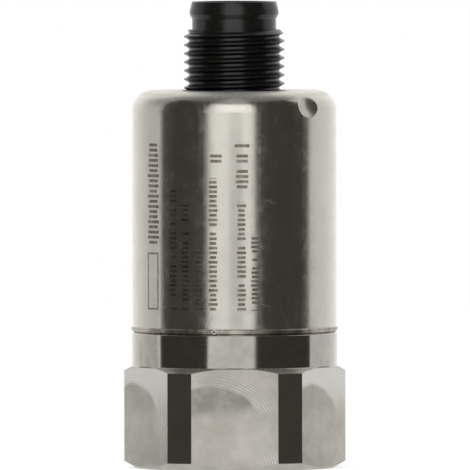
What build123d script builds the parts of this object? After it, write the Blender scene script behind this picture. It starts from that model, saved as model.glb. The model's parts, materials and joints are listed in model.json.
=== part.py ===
from build123d import *

import os
from math import cos, radians, sin, tan

# Pressure sensor with a hexagonal steel foot, a drawn steel housing and a round threaded plug.
#
# The fluid enters through the tapped port in the foot and pushes on the thin steel membrane
# of the sensor cell, which is welded on the foot. Fine wires join the bridge on the membrane
# to a ring-shaped signal board. Three straight pins carry the signal up to a second board,
# where the four contacts of the plug are soldered. The drawn housing holds the plug down on a
# spacer tube and a carrier, seals it with a rubber ring, and is welded to the foot's collar.
#
# Units are millimetres. Z is the axis of the sensor and Z = 0 is the flat end of the foot.
# The front is -Y, where one flat of the hexagon faces.

# Hexagonal foot: a turned bar with six milled flats
HEX_ACROSS_FLATS = 24.1
HEX_SIDES = 6
CORNER_STAND = 1.03
HEX_HEIGHT = 11.9
HEX_CHAMFER_ANGLE = 30.0
FOOT_CHAMFER_HEIGHT = 0.85
MILL_OVERRUN = 0.15

# Collar of the foot, where the housing is welded
COLLAR_STEP = 0.1
COLLAR_HEIGHT = 4.3
COLLAR_FOOT = 0.12
SPIGOT_HEIGHT = 2.6
SPIGOT_CLEARANCE = 0.03
SPIGOT_CHAMFER = 0.4

# Tapped port for the fluid, drawn at the thread's minor diameter
PORT_THREAD_DIAMETER = 11.445
PORT_THREAD_LENGTH = 10.0
PORT_MOUTH_DIAMETER = 13.6
PORT_RELIEF_DIAMETER = 13.6
PORT_RELIEF_LENGTH = 2.0
CHANNEL_DIAMETER = 3.0
BOSS_HEIGHT = 1.6

# Sensor cell with its membrane
CELL_FLANGE_DIAMETER = 11.2
CELL_FLANGE_HEIGHT = 1.2
CELL_BODY_DIAMETER = 9.2
CELL_HEIGHT = 4.1
CELL_BORE_DIAMETER = 6.0
CELL_FILLET = 0.5
MEMBRANE_THICKNESS = 0.4
CELL_WELD_HEIGHT = 0.5
CELL_WELD_BULGE = 0.15
BRIDGE_DIAMETER = 7.6
BRIDGE_THICKNESS = 0.1
PAD_SIZE = 0.7
PAD_THICKNESS = 0.05
PAD_CIRCLE_DIAMETER = 6.2
BOND_COUNT = 4
BOND_WIRE_DIAMETER = 0.12
BOND_LOOP_HEIGHT = 0.7

# Drawn housing
HOUSING_DIAMETER = 24.0
HOUSING_WALL = 0.8
HOUSING_HEIGHT = 28.15
SHOULDER_RADIUS = 2.4
PLUG_HOLE_CLEARANCE = 0.2

# Laser weld in the groove between the collar and the housing
WELD_DEPTH = 0.35
WELD_HALF_WIDTH = 0.4
WELD_BULGE = 0.08
WELD_UNDERCUT_SHARE = 0.25

# Dent that keeps the plug from turning, on the shoulder of the housing
DENT_AZIMUTH = -43.0
DENT_TILT = 16.0
DENT_RADIUS = 2.9
DENT_DEPTH = 0.5
DENT_EDGE_FILLET = 0.45

# Carrier under the signal board
CARRIER_RING_HEIGHT = 1.5
CARRIER_GAP = 0.35
CARRIER_BORE_GAP = 0.7
CARRIER_RIM = 1.15
CARRIER_RIM_WALL = 1.35
CARRIER_LEDGE = 1.0
CARRIER_POSTS = 3
CARRIER_WINDOW_ANGLE = 62.0
CARRIER_SEAT_THICKNESS = 0.65

# Circuit boards
BOARD_THICKNESS = 1.0
SIGNAL_BOARD_GAP = 0.3
BOARD_EDGE_CLEARANCE = 0.1
PLUG_BOARD_GAP = 1.1

# Spacer tube between the carrier and the plug
SPACER_WALL = 0.8
SPACER_LEDGE_WIDTH = 1.0
SPACER_LEDGE_HEIGHT = 0.8
SPACER_WINDOWS = 3
SPACER_WINDOW_AZIMUTH = 30.0
SPACER_WINDOW_WIDTH = 3.0
SPACER_WINDOW_MARGIN = 1.225
SPACER_WINDOW_CORNER = 0.6

# Moulded plug, with its thread drawn at the crest diameter
THREAD_DIAMETER = 11.84
THREAD_ROOT_DIAMETER = 10.7
THREAD_LENGTH = 7.15
SHANK_CLEARANCE = 0.3
NECK_DIAMETER = 9.87
NECK_LENGTH = 1.25
BEAD_DIAMETER = 10.46
BEAD_RISE = 0.55
BEAD_LENGTH = 0.35
RIM_DIAMETER = 9.93
RIM_LENGTH = 1.15
RIM_FILLET = 0.15
CUP_DIAMETER = 8.6
CUP_DEPTH = 8.8
CUP_LEAD_IN = 0.2
KEY_WIDTH = 1.4
KEY_DEPTH = 0.8
KEY_SETBACK = 1.0
FLANGE_THICKNESS = 2.9
FLANGE_GAP = 0.3
FLANGE_RIM_WALL = 1.3
FLANGE_WEB = 1.1
FLANGE_RIBS = 8
RIB_THICKNESS = 0.9
CORE_DIAMETER = 10.4
CORE_BELOW_FLANGE = 2.3

# Rubber ring between the plug and the housing
SEAL_WIDTH = 1.5
SEAL_HEIGHT = 1.1
SEAL_SIDE_GAP = 0.2
SEAL_CORNER = 0.45

# Contacts of the plug
CONTACT_COUNT = 4
CONTACT_CIRCLE_DIAMETER = 5.5
CONTACT_DIAMETER = 1.0
CONTACT_TIP_SETBACK = 1.6
CONTACT_TIP_RADIUS = 0.4
CONTACT_TAIL = 1.2
CONTACT_RING_DIAMETER = 1.6
CONTACT_RING_LENGTH = 1.0
CONTACT_RING_ABOVE_CORE = 3.0

# Straight pins between the boards
LINK_COUNT = 3
LINK_PITCH = 2.0
LINK_WIDTH = 0.6
LINK_CHAMFER = 0.12
LINK_PROUD = 0.8
LINK_HOLE_DIAMETER = 1.0
HEADER_WIDTH = 2.0
HEADER_HEIGHT = 2.0
HEADER_CHAMFER = 0.25
SOLDER_SPREAD = 0.45
SOLDER_TIP = 0.1
SOLDER_HEIGHT = 0.6

# Parts on the boards
CHIP_SIZE = 3.4
CHIP_HEIGHT = 0.9
CHIP_CHAMFER = 0.12
CHIP_LEADS = 5
CHIP_LEAD_WIDTH = 0.25
CHIP_LEAD_LENGTH = 0.35
CHIP_LEAD_THICKNESS = 0.2
CHIP_AZIMUTH = -90.0
CAPACITOR_LENGTH = 1.6
CAPACITOR_WIDTH = 0.8
CAPACITOR_HEIGHT = 0.8
CAPACITOR_AZIMUTHS = (-20.0, 12.0, 168.0, 200.0)
RESISTOR_LENGTH = 1.6
RESISTOR_WIDTH = 0.8
RESISTOR_HEIGHT = 0.45
RESISTOR_AZIMUTHS = (40.0, 140.0, 225.0)
END_CAP_LENGTH = 0.3
END_CAP_PROUD = 0.03
DIODE_LENGTH = 4.2
DIODE_WIDTH = 2.6
DIODE_HEIGHT = 2.0
DIODE_LEAD_WIDTH = 1.4
DIODE_LEAD_LENGTH = 0.5
DIODE_LEAD_THICKNESS = 0.25
DIODE_TAPER = 6.0
DIODE_AZIMUTHS = (0.0, 180.0)

# How near an edge has to lie to a place to be taken for the one there
EDGE_TOLERANCE = 0.01

# Radii and heights that follow from the sizes above
flat_radius = HEX_ACROSS_FLATS / 2
bar_radius = flat_radius + CORNER_STAND
hex_slope = tan(radians(HEX_CHAMFER_ANGLE))
collar_top = HEX_HEIGHT + COLLAR_HEIGHT
housing_radius = HOUSING_DIAMETER / 2
collar_radius = housing_radius + COLLAR_STEP
housing_inner_radius = housing_radius - HOUSING_WALL
housing_top = collar_top + HOUSING_HEIGHT
housing_ceiling = housing_top - HOUSING_WALL
weld_root = housing_radius - WELD_DEPTH
spigot_radius = housing_inner_radius - SPIGOT_CLEARANCE
spigot_top = collar_top + SPIGOT_HEIGHT
boss_radius = CELL_FLANGE_DIAMETER / 2
cell_bottom = spigot_top + BOSS_HEIGHT
cell_top = cell_bottom + CELL_HEIGHT
signal_board_top = cell_top + BRIDGE_THICKNESS
signal_board_bottom = signal_board_top - BOARD_THICKNESS
carrier_radius = housing_inner_radius - CARRIER_GAP
board_seat_radius = carrier_radius - CARRIER_RIM_WALL
signal_board_radius = board_seat_radius - BOARD_EDGE_CLEARANCE
signal_board_hole_radius = CELL_BODY_DIAMETER / 2 + SIGNAL_BOARD_GAP
signal_ring_middle = (signal_board_radius + signal_board_hole_radius) / 2
carrier_top = signal_board_top + CARRIER_RIM
spacer_inner_radius = carrier_radius - SPACER_WALL
thread_radius = THREAD_DIAMETER / 2
shank_radius = thread_radius - SHANK_CLEARANCE
thread_end = housing_top + THREAD_LENGTH
neck_end = thread_end + NECK_LENGTH
plug_top = neck_end + BEAD_RISE + BEAD_LENGTH + RIM_LENGTH
flange_bottom = housing_ceiling - FLANGE_THICKNESS
flange_radius = housing_inner_radius - FLANGE_GAP
flange_edge_radius = SHOULDER_RADIUS - HOUSING_WALL
plug_hole_radius = thread_radius + PLUG_HOLE_CLEARANCE
seal_circle_radius = (plug_hole_radius + flange_radius - flange_edge_radius) / 2
core_bottom = flange_bottom - CORE_BELOW_FLANGE
core_radius = CORE_DIAMETER / 2
cup_radius = CUP_DIAMETER / 2
cup_floor = plug_top - CUP_DEPTH
plug_board_radius = spacer_inner_radius - BOARD_EDGE_CLEARANCE
plug_board_top = core_bottom - PLUG_BOARD_GAP
plug_board_bottom = plug_board_top - BOARD_THICKNESS
contact_radius = CONTACT_DIAMETER / 2
contact_tip = plug_top - CONTACT_TIP_SETBACK
contact_ring_low = core_bottom + CONTACT_RING_ABOVE_CORE


def turned(*outline):
    """A solid turned about Z from a closed outline of (radius, height) points."""
    return revolve(Plane.XZ * make_face(Polyline(*outline, close=True)), Axis.Z)


def disc(radius, low, high):
    """An upright round disc between two heights."""
    return Pos(0, 0, low) * extrude(Circle(radius), high - low)


def tube(outer, inner, low, high):
    """An upright round tube between two heights."""
    return Pos(0, 0, low) * extrude(Circle(outer) - Circle(inner), high - low)


def block(length, width, height):
    """A rectangular block that stands on its middle at the origin."""
    return extrude(Rectangle(length, width), height)


def round_about(count, start=0.0):
    """The turns about Z that place count copies evenly."""
    return [Rot(0, 0, start + 360.0 / count * copy) for copy in range(count)]


def foot():
    """Foot of one turned and milled bar: hexagon, collar, spigot, boss and the tapped port."""
    foot_chamfer_width = FOOT_CHAMFER_HEIGHT / hex_slope
    collar_foot_radius = collar_radius + COLLAR_FOOT
    shoulder_rise = (bar_radius - collar_foot_radius) * hex_slope
    body = turned(
        (0, 0),
        (bar_radius - foot_chamfer_width, 0),
        (bar_radius, FOOT_CHAMFER_HEIGHT),
        (bar_radius, HEX_HEIGHT - shoulder_rise),
        (collar_foot_radius, HEX_HEIGHT),
        (collar_radius, HEX_HEIGHT + COLLAR_FOOT),
        (collar_radius, collar_top - WELD_HALF_WIDTH),
        (weld_root, collar_top),
        (0, collar_top),
    )
    milled_away = block(2 * bar_radius, 2 * bar_radius, HEX_HEIGHT + MILL_OVERRUN)
    beside = Pos(0, flat_radius + bar_radius, 0) * milled_away
    for turn in round_about(HEX_SIDES):
        body -= turn * beside
    body += turned(
        (0, collar_top),
        (spigot_radius, collar_top),
        (spigot_radius, spigot_top - SPIGOT_CHAMFER),
        (spigot_radius - SPIGOT_CHAMFER, spigot_top),
        (boss_radius, spigot_top),
        (boss_radius, cell_bottom),
        (0, cell_bottom),
    )
    return body - port()


def port():
    """Space of the tapped port, its countersink, its relief and the pressure channel."""
    thread_radius_inside = PORT_THREAD_DIAMETER / 2
    mouth_radius = PORT_MOUTH_DIAMETER / 2
    countersink = mouth_radius - thread_radius_inside
    tapped_end = countersink + PORT_THREAD_LENGTH
    relief_end = tapped_end + PORT_RELIEF_LENGTH
    relief_radius = PORT_RELIEF_DIAMETER / 2
    relief_step = relief_radius - thread_radius_inside
    channel_radius = CHANNEL_DIAMETER / 2
    return turned(
        (0, 0),
        (mouth_radius, 0),
        (thread_radius_inside, countersink),
        (thread_radius_inside, tapped_end),
        (relief_radius, tapped_end + relief_step),
        (relief_radius, relief_end),
        (channel_radius, relief_end),
        (channel_radius, cell_bottom),
        (0, cell_bottom),
    )


def sensor_cell():
    """Steel cell, a cap with a thin top that bends under the pressure."""
    bore_radius = CELL_BORE_DIAMETER / 2
    body_radius = CELL_BODY_DIAMETER / 2
    cell = turned(
        (bore_radius, cell_bottom),
        (boss_radius, cell_bottom),
        (boss_radius, cell_bottom + CELL_FLANGE_HEIGHT),
        (body_radius, cell_bottom + CELL_FLANGE_HEIGHT),
        (body_radius, cell_top),
        (0, cell_top),
        (0, cell_top - MEMBRANE_THICKNESS),
        (bore_radius, cell_top - MEMBRANE_THICKNESS),
    )
    inner_corner = cell.edges().filter_by(GeomType.CIRCLE).filter_by(
        lambda edge: abs(edge.radius - bore_radius) < EDGE_TOLERANCE
    ).sort_by(Axis.Z)[-1]
    return fillet(inner_corner, CELL_FILLET)


def cell_weld():
    """Weld bead that joins the cell to the boss of the foot."""
    half = CELL_WELD_HEIGHT / 2
    line = Line((boss_radius, cell_bottom - half), (boss_radius, cell_bottom + half))
    crest = (boss_radius + CELL_WELD_BULGE, cell_bottom)
    bulge = ThreePointArc(line @ 1, crest, line @ 0)
    return revolve(Plane.XZ * make_face(line + bulge), Axis.Z)


def strain_bridge():
    """Glass layer on the membrane, with the bridge on it."""
    return disc(BRIDGE_DIAMETER / 2, cell_top, cell_top + BRIDGE_THICKNESS)


def bond_turns():
    """The turns that place the bond wires round the membrane."""
    return round_about(BOND_COUNT, 180.0 / BOND_COUNT)


def bond_pads():
    """Gold pads on the bridge and beside it on the signal board."""
    pad = block(PAD_SIZE, PAD_SIZE, PAD_THICKNESS)
    inner = Pos(PAD_CIRCLE_DIAMETER / 2, 0, signal_board_top) * pad
    outer = Pos(signal_board_hole_radius + PAD_SIZE, 0, signal_board_top) * pad
    return [turn * one for turn in bond_turns() for one in (inner, outer)]


def bond_wires():
    """Looped gold wires from the pads on the bridge to the pads on the board."""
    low = signal_board_top + PAD_THICKNESS
    start = (PAD_CIRCLE_DIAMETER / 2, low)
    end = (signal_board_hole_radius + PAD_SIZE, low)
    middle = ((start[0] + end[0]) / 2, low + BOND_LOOP_HEIGHT)
    loop = Plane.XZ * ThreePointArc(start, middle, end)
    section = Plane(loop @ 0, z_dir=loop % 0) * Circle(BOND_WIRE_DIAMETER / 2)
    wire = sweep(section, loop)
    above_pads = disc(signal_board_radius, low, low + 2 * BOND_LOOP_HEIGHT)
    return [turn * (wire & above_pads) for turn in bond_turns()]


def board_carrier():
    """Moulded carrier that stands on the spigot and holds the signal board at its edge."""
    ring_top = spigot_top + CARRIER_RING_HEIGHT
    ledge_radius = signal_board_radius - CARRIER_LEDGE
    bore = boss_radius + CARRIER_BORE_GAP
    ring = tube(carrier_radius, bore, spigot_top, ring_top)
    wall = turned(
        (ledge_radius, ring_top),
        (carrier_radius, ring_top),
        (carrier_radius, carrier_top),
        (board_seat_radius, carrier_top),
        (board_seat_radius, signal_board_bottom),
        (ledge_radius, signal_board_bottom),
    )
    reach = 2 * carrier_radius
    half_width = reach * tan(radians(CARRIER_WINDOW_ANGLE / 2))
    window = Plane.XY * make_face(
        Polyline((0, 0), (reach, -half_width), (reach, half_width), close=True)
    )
    window_height = signal_board_bottom - ring_top - CARRIER_SEAT_THICKNESS
    gap = Pos(0, 0, ring_top) * extrude(window, window_height)
    for turn in round_about(CARRIER_POSTS):
        wall -= turn * gap
    return ring + wall


def signal_board():
    """Ring-shaped board round the sensor cell."""
    board = tube(
        signal_board_radius, signal_board_hole_radius, signal_board_bottom, signal_board_top
    )
    return board - link_holes(signal_board_bottom, signal_board_top)


def plug_board():
    """Round board under the plug, which the contacts are soldered in."""
    board = disc(plug_board_radius, plug_board_bottom, plug_board_top)
    board -= link_holes(plug_board_bottom, plug_board_top)
    contact_hole = disc(contact_radius + BOARD_EDGE_CLEARANCE, plug_board_bottom, plug_board_top)
    for place in contact_places():
        board -= place * contact_hole
    return board


def link_places():
    """Places of the straight pins, in a row behind the cell."""
    first = -(LINK_COUNT - 1) / 2 * LINK_PITCH
    return [Pos(first + LINK_PITCH * pin, signal_ring_middle, 0) for pin in range(LINK_COUNT)]


def link_holes(low, high):
    """Holes in a board for the straight pins."""
    hole = disc(LINK_HOLE_DIAMETER / 2, low, high)
    return [place * hole for place in link_places()]


def link_pins():
    """Straight square pins that join the two boards."""
    low = signal_board_bottom - LINK_PROUD
    high = plug_board_top + LINK_PROUD
    pin = Pos(0, 0, low) * block(LINK_WIDTH, LINK_WIDTH, high - low)
    pin = chamfer(pin.faces().sort_by(Axis.Z)[-1].edges(), LINK_CHAMFER)
    return [place * pin for place in link_places()]


def link_header():
    """Moulded strip that holds the straight pins upright on the signal board."""
    length = (LINK_COUNT - 1) * LINK_PITCH + HEADER_WIDTH
    strip = Pos(0, signal_ring_middle, signal_board_top) * block(length, HEADER_WIDTH, HEADER_HEIGHT)
    strip = chamfer(strip.edges().filter_by(Axis.Z), HEADER_CHAMFER)
    hole = Pos(0, 0, signal_board_top) * block(LINK_WIDTH, LINK_WIDTH, HEADER_HEIGHT)
    for place in link_places():
        strip -= place * hole
    return strip


def solder_cone(inner, face, away):
    """Solder fillet round a lead, from a board's face, up where away is 1 and down where it is -1."""
    spread = inner + SOLDER_SPREAD
    return turned(
        (0, face),
        (spread, face),
        (inner + SOLDER_TIP, face + away * SOLDER_HEIGHT),
        (0, face + away * SOLDER_HEIGHT),
    )


def link_solder():
    """Solder under the signal board and on the plug board, round the straight pins."""
    hole = LINK_HOLE_DIAMETER / 2
    low = signal_board_bottom - LINK_PROUD
    pin = Pos(0, 0, low) * block(LINK_WIDTH, LINK_WIDTH, plug_board_top + LINK_PROUD - low)
    under = solder_cone(hole, signal_board_bottom, -1) - pin
    over = solder_cone(hole, plug_board_top, 1) - pin
    return [place * one for place in link_places() for one in (under, over)]


def contact_solder():
    """Solder under the plug board, round the tails of the contacts."""
    cone = solder_cone(contact_radius, plug_board_bottom, -1)
    cone -= disc(contact_radius, plug_board_bottom - SOLDER_HEIGHT, plug_board_bottom)
    return [place * cone for place in contact_places()]


def spacer_tube():
    """Moulded tube that carries the plug board on a ledge and the plug on its top."""
    inner = spacer_inner_radius
    ledge_inner = inner - SPACER_LEDGE_WIDTH
    ledge_low = plug_board_bottom - SPACER_LEDGE_HEIGHT
    body = turned(
        (inner, carrier_top),
        (carrier_radius, carrier_top),
        (carrier_radius, flange_bottom),
        (inner, flange_bottom),
        (inner, plug_board_bottom),
        (ledge_inner, plug_board_bottom),
        (ledge_inner, ledge_low),
        (inner, ledge_low - SPACER_LEDGE_WIDTH),
    )
    room = ledge_low - SPACER_LEDGE_WIDTH - carrier_top
    middle = carrier_top + room / 2
    window_height = room - 2 * SPACER_WINDOW_MARGIN
    window = RectangleRounded(SPACER_WINDOW_WIDTH, window_height, SPACER_WINDOW_CORNER)
    slot = extrude(Plane.XZ * window, 2 * carrier_radius)
    for turn in round_about(SPACER_WINDOWS, SPACER_WINDOW_AZIMUTH):
        body -= turn * (Pos(0, 0, middle) * slot)
    return body


def dent_centre():
    """Middle of the ball that forms the dent, out from the shoulder of the housing."""
    tilt = radians(DENT_TILT)
    reach = SHOULDER_RADIUS + DENT_RADIUS - DENT_DEPTH
    radius = housing_radius - SHOULDER_RADIUS + reach * cos(tilt)
    height = housing_top - SHOULDER_RADIUS + reach * sin(tilt)
    return Rot(0, 0, DENT_AZIMUTH) * Pos(radius, 0, height)


def housing():
    """Drawn steel cup, upside down, with a hole for the plug and a dent in its shoulder."""
    outer = disc(housing_radius, collar_top, housing_top)
    outer = fillet(outer.faces().sort_by(Axis.Z)[-1].edges(), SHOULDER_RADIUS)
    inner = disc(housing_inner_radius, collar_top, housing_ceiling)
    inner = fillet(inner.faces().sort_by(Axis.Z)[-1].edges(), flange_edge_radius)
    bulge = dent_centre() * Sphere(DENT_RADIUS + HOUSING_WALL)
    cup = outer - (inner - bulge)
    cup -= disc(plug_hole_radius, housing_ceiling, housing_top)
    cup -= turned(
        (weld_root, collar_top),
        (housing_radius, collar_top + WELD_HALF_WIDTH),
        (housing_radius, collar_top),
    )
    cup -= dent_centre() * Sphere(DENT_RADIUS)
    return fillet(dent_rim(cup), DENT_EDGE_FILLET)


def dent_rim(cup):
    """The edges where the dent's ball meets the outside of the housing."""
    centre = dent_centre().position
    return cup.edges().filter_by(
        lambda edge: abs((edge @ 0 - centre).length - DENT_RADIUS) < EDGE_TOLERANCE
        and abs((edge @ 0.5 - centre).length - DENT_RADIUS) < EDGE_TOLERANCE
    )


def housing_weld():
    """Weld bead in the groove, a little below the mouth of the groove on the collar's side."""
    depth = collar_radius - weld_root
    low = (
        collar_radius - WELD_UNDERCUT_SHARE * depth,
        collar_top - WELD_HALF_WIDTH * (1 - WELD_UNDERCUT_SHARE),
    )
    crest = (collar_radius + WELD_BULGE, collar_top)
    high = (housing_radius, collar_top + WELD_HALF_WIDTH)
    root = (weld_root, collar_top)
    outline = [Line(root, low), ThreePointArc(low, crest, high), Line(high, root)]
    return revolve(Plane.XZ * make_face(outline), Axis.Z)


def contact_places():
    """Places of the contacts on their circle, with the key midway between two of them."""
    reach = Pos(CONTACT_CIRCLE_DIAMETER / 2, 0, 0)
    first = DENT_AZIMUTH + 180.0 / CONTACT_COUNT
    return [turn * reach for turn in round_about(CONTACT_COUNT, first)]


def contacts():
    """Round contacts with a ring that locks each one in the moulding."""
    tail = plug_board_bottom - CONTACT_TAIL
    pin = disc(contact_radius, tail, contact_tip)
    pin = fillet(pin.faces().sort_by(Axis.Z)[-1].edges(), CONTACT_TIP_RADIUS)
    pin += disc(CONTACT_RING_DIAMETER / 2, contact_ring_low, contact_ring_low + CONTACT_RING_LENGTH)
    return [place * pin for place in contact_places()]


def seal():
    """Rubber ring, pressed between the groove of the plug and the ceiling of the housing."""
    section = Rectangle(SEAL_WIDTH, SEAL_HEIGHT)
    section = fillet(section.vertices(), SEAL_CORNER)
    middle = Pos(seal_circle_radius, housing_ceiling - SEAL_HEIGHT / 2, 0)
    return revolve(Plane.XZ * (middle * section), Axis.Z)


def plug():
    """Moulded plug: threaded cup with a key, flange with ribs under it, core for the contacts."""
    neck_radius = NECK_DIAMETER / 2
    bead_radius = BEAD_DIAMETER / 2
    root_radius = THREAD_ROOT_DIAMETER / 2
    thread_chamfer = thread_radius - root_radius
    upper = turned(
        (0, flange_bottom),
        (shank_radius, flange_bottom),
        (shank_radius, housing_top),
        (thread_radius, housing_top),
        (thread_radius, thread_end - thread_chamfer),
        (root_radius, thread_end),
        (neck_radius, thread_end),
        (neck_radius, neck_end),
        (bead_radius, neck_end + BEAD_RISE),
        (bead_radius, neck_end + BEAD_RISE + BEAD_LENGTH),
        (RIM_DIAMETER / 2, plug_top),
        (0, plug_top),
    )
    rim = upper.faces().sort_by(Axis.Z)[-1].edges()
    upper = fillet(rim, RIM_FILLET)
    flange = disc(flange_radius, flange_bottom, housing_ceiling)
    flange = fillet(flange.faces().sort_by(Axis.Z)[-1].edges(), flange_edge_radius)
    flange -= flange_pocket()
    body = upper + flange + disc(core_radius, core_bottom, housing_ceiling)
    body -= seal_groove()
    body -= dent_centre() * Sphere(DENT_RADIUS + HOUSING_WALL + FLANGE_GAP)
    body -= cup_space()
    for pin in contacts():
        body -= pin
    return body


def flange_pocket():
    """Space under the flange, between its outer wall, its ribs and the core."""
    outer = flange_radius - FLANGE_RIM_WALL
    top = housing_ceiling - SEAL_HEIGHT - FLANGE_WEB
    pocket = tube(outer, core_radius, flange_bottom, top)
    rib = Pos(outer / 2, 0, flange_bottom) * block(outer, RIB_THICKNESS, top - flange_bottom)
    for turn in round_about(FLANGE_RIBS, 180.0 / FLANGE_RIBS):
        pocket -= turn * rib
    return pocket


def seal_groove():
    """Groove in the top of the flange for the rubber ring."""
    half = SEAL_WIDTH / 2 + SEAL_SIDE_GAP
    outer = seal_circle_radius + half
    inner = seal_circle_radius - half
    return tube(outer, inner, housing_ceiling - SEAL_HEIGHT, housing_ceiling)


def cup_space():
    """Space in the cup, less the key that turns with the dent."""
    lead_in = cup_radius + CUP_LEAD_IN
    space = turned(
        (0, cup_floor),
        (cup_radius, cup_floor),
        (cup_radius, plug_top - CUP_LEAD_IN),
        (lead_in, plug_top),
        (0, plug_top),
    )
    key_height = CUP_DEPTH - KEY_SETBACK
    key = Pos(cup_radius, 0, cup_floor) * block(2 * KEY_DEPTH, KEY_WIDTH, key_height)
    return space - Rot(0, 0, DENT_AZIMUTH) * key


def chip():
    """Signal processor in a flat package, with leads on two sides."""
    body = block(CHIP_SIZE, CHIP_SIZE, CHIP_HEIGHT)
    body = chamfer(body.faces().sort_by(Axis.Z)[-1].edges(), CHIP_CHAMFER)
    lead = block(CHIP_SIZE + 2 * CHIP_LEAD_LENGTH, CHIP_LEAD_WIDTH, CHIP_LEAD_THICKNESS)
    spacing = CHIP_SIZE / CHIP_LEADS
    for step in range(CHIP_LEADS):
        body += Pos(0, (step - (CHIP_LEADS - 1) / 2) * spacing, 0) * lead
    return on_signal_board(body, CHIP_AZIMUTH)


def on_signal_board(piece, azimuth):
    """A piece set on the signal board, across its ring, in a direction from the axis."""
    place = Rot(0, 0, azimuth) * Pos(signal_ring_middle, 0, signal_board_top) * Rot(0, 0, 90)
    return place * piece


def end_capped(length, width, height):
    """Small ceramic part with a metal cap at each end."""
    body = block(length, width, height)
    cap = block(END_CAP_LENGTH, width + 2 * END_CAP_PROUD, height + END_CAP_PROUD)
    for side in (-1, 1):
        body += Pos(side * (length - END_CAP_LENGTH) / 2, 0, 0) * cap
    return body


def diode():
    """Surge diode: tapered body and two folded leads."""
    body = extrude(Rectangle(DIODE_LENGTH, DIODE_WIDTH), DIODE_HEIGHT, taper=DIODE_TAPER)
    lead = block(DIODE_LENGTH + 2 * DIODE_LEAD_LENGTH, DIODE_LEAD_WIDTH, DIODE_LEAD_THICKNESS)
    return body + lead


def diodes():
    """Surge diodes on the plug board, one each side of the contacts."""
    middle = (core_radius + spacer_inner_radius) / 2
    lift = Pos(middle, 0, plug_board_top) * Rot(0, 0, 90)
    return [Rot(0, 0, azimuth) * lift * diode() for azimuth in DIODE_AZIMUTHS]


def numbered(name, solids):
    """Named pieces for a list of like solids, counted from one."""
    return {f"{name}_{count}": [solid] for count, solid in enumerate(solids, 1)}


def pieces():
    """Every piece of the sensor by its name, each with its list of solids."""
    capacitor = end_capped(CAPACITOR_LENGTH, CAPACITOR_WIDTH, CAPACITOR_HEIGHT)
    resistor = end_capped(RESISTOR_LENGTH, RESISTOR_WIDTH, RESISTOR_HEIGHT)
    capacitors = [on_signal_board(capacitor, azimuth) for azimuth in CAPACITOR_AZIMUTHS]
    resistors = [on_signal_board(resistor, azimuth) for azimuth in RESISTOR_AZIMUTHS]
    return {
        "hexagon_foot": [foot()],
        "sensor_cell": [sensor_cell()],
        "cell_weld": [cell_weld()],
        "strain_bridge": [strain_bridge()],
        "bond_pads": bond_pads(),
        "bond_wires": bond_wires(),
        "board_carrier": [board_carrier()],
        "signal_board": [signal_board()],
        "signal_chip": [chip()],
        **numbered("capacitor", capacitors),
        **numbered("resistor", resistors),
        "link_header": [link_header()],
        **numbered("link_pin", link_pins()),
        "link_solder": link_solder(),
        "spacer_tube": [spacer_tube()],
        "plug_board": [plug_board()],
        **numbered("surge_diode", diodes()),
        "contact_solder": contact_solder(),
        "connector_plug": [plug()],
        **numbered("contact_pin", contacts()),
        "plug_seal": [seal()],
        "housing_sleeve": [housing()],
        "housing_weld": [housing_weld()],
    }


def main():
    """Writes one STEP file for each piece."""
    os.makedirs("parts", exist_ok=True)
    for name, solids in pieces().items():
        parts = [piece.solid() for piece in solids]
        shape = Compound(children=parts) if len(parts) > 1 else parts[0]
        shape.label = name
        export_step(shape, f"parts/{name}.step")


main()
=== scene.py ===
"""Looks of the pressure sensor: its steel foot, drawn housing, laser weld and threaded plug.

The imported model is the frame. The foot, the weld and the plug get a finer mesh, made on copies or from
primitives, and every other piece keeps its mesh and gets its finish. Lengths are metres, Z is the axis of
the sensor, and the front looks along -Y.
"""

import json
import logging
from collections.abc import Callable
from dataclasses import dataclass, field
from enum import Enum
from functools import reduce
from math import cos, pi, radians, sin, tan

import bpy
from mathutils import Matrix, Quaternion, Vector

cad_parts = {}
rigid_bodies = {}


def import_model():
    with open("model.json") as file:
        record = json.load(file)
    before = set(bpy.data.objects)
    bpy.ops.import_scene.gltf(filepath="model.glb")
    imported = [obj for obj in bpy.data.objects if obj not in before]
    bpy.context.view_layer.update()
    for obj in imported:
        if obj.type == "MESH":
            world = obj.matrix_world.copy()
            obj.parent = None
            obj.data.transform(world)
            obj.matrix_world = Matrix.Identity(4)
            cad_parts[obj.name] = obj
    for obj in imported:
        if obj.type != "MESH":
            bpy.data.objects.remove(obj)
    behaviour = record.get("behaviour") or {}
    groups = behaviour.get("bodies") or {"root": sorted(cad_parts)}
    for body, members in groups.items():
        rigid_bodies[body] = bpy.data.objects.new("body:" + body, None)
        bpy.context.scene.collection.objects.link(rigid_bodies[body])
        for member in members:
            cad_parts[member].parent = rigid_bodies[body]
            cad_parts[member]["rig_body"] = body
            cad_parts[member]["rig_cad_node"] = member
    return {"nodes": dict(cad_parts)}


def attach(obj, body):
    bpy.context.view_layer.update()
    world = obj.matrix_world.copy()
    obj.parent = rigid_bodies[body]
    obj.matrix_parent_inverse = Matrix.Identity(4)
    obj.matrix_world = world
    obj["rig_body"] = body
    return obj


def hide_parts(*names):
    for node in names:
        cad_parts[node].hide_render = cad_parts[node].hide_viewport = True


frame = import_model()

log = logging.getLogger("pressure_sensor")

MM = 0.001
FULL_TURN = 2 * pi
BODY = "root"
# How near two points of a mesh lie to become one
MERGE_DISTANCE = 0.0005 * MM
# Angle up to which neighbouring faces are one flat face
EVEN_ANGLE = radians(0.2)

Colour = tuple[float, float, float]
Span = tuple[float, float]
Piece = bpy.types.Object
Socket = bpy.types.NodeSocket
# Colour, roughness and height of a surface, as outputs of nodes
Surface = tuple[Socket, Socket, Socket]

WHITE: Colour = (1.0, 1.0, 1.0)


class Lay(Enum):
    """Direction of the fine lines that making a surface leaves on it, as scales across and along Z."""

    ALONG = (1.0, 0.02)
    AROUND = (0.02, 1.0)
    CLOUDY = (1.0, 1.0)


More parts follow.
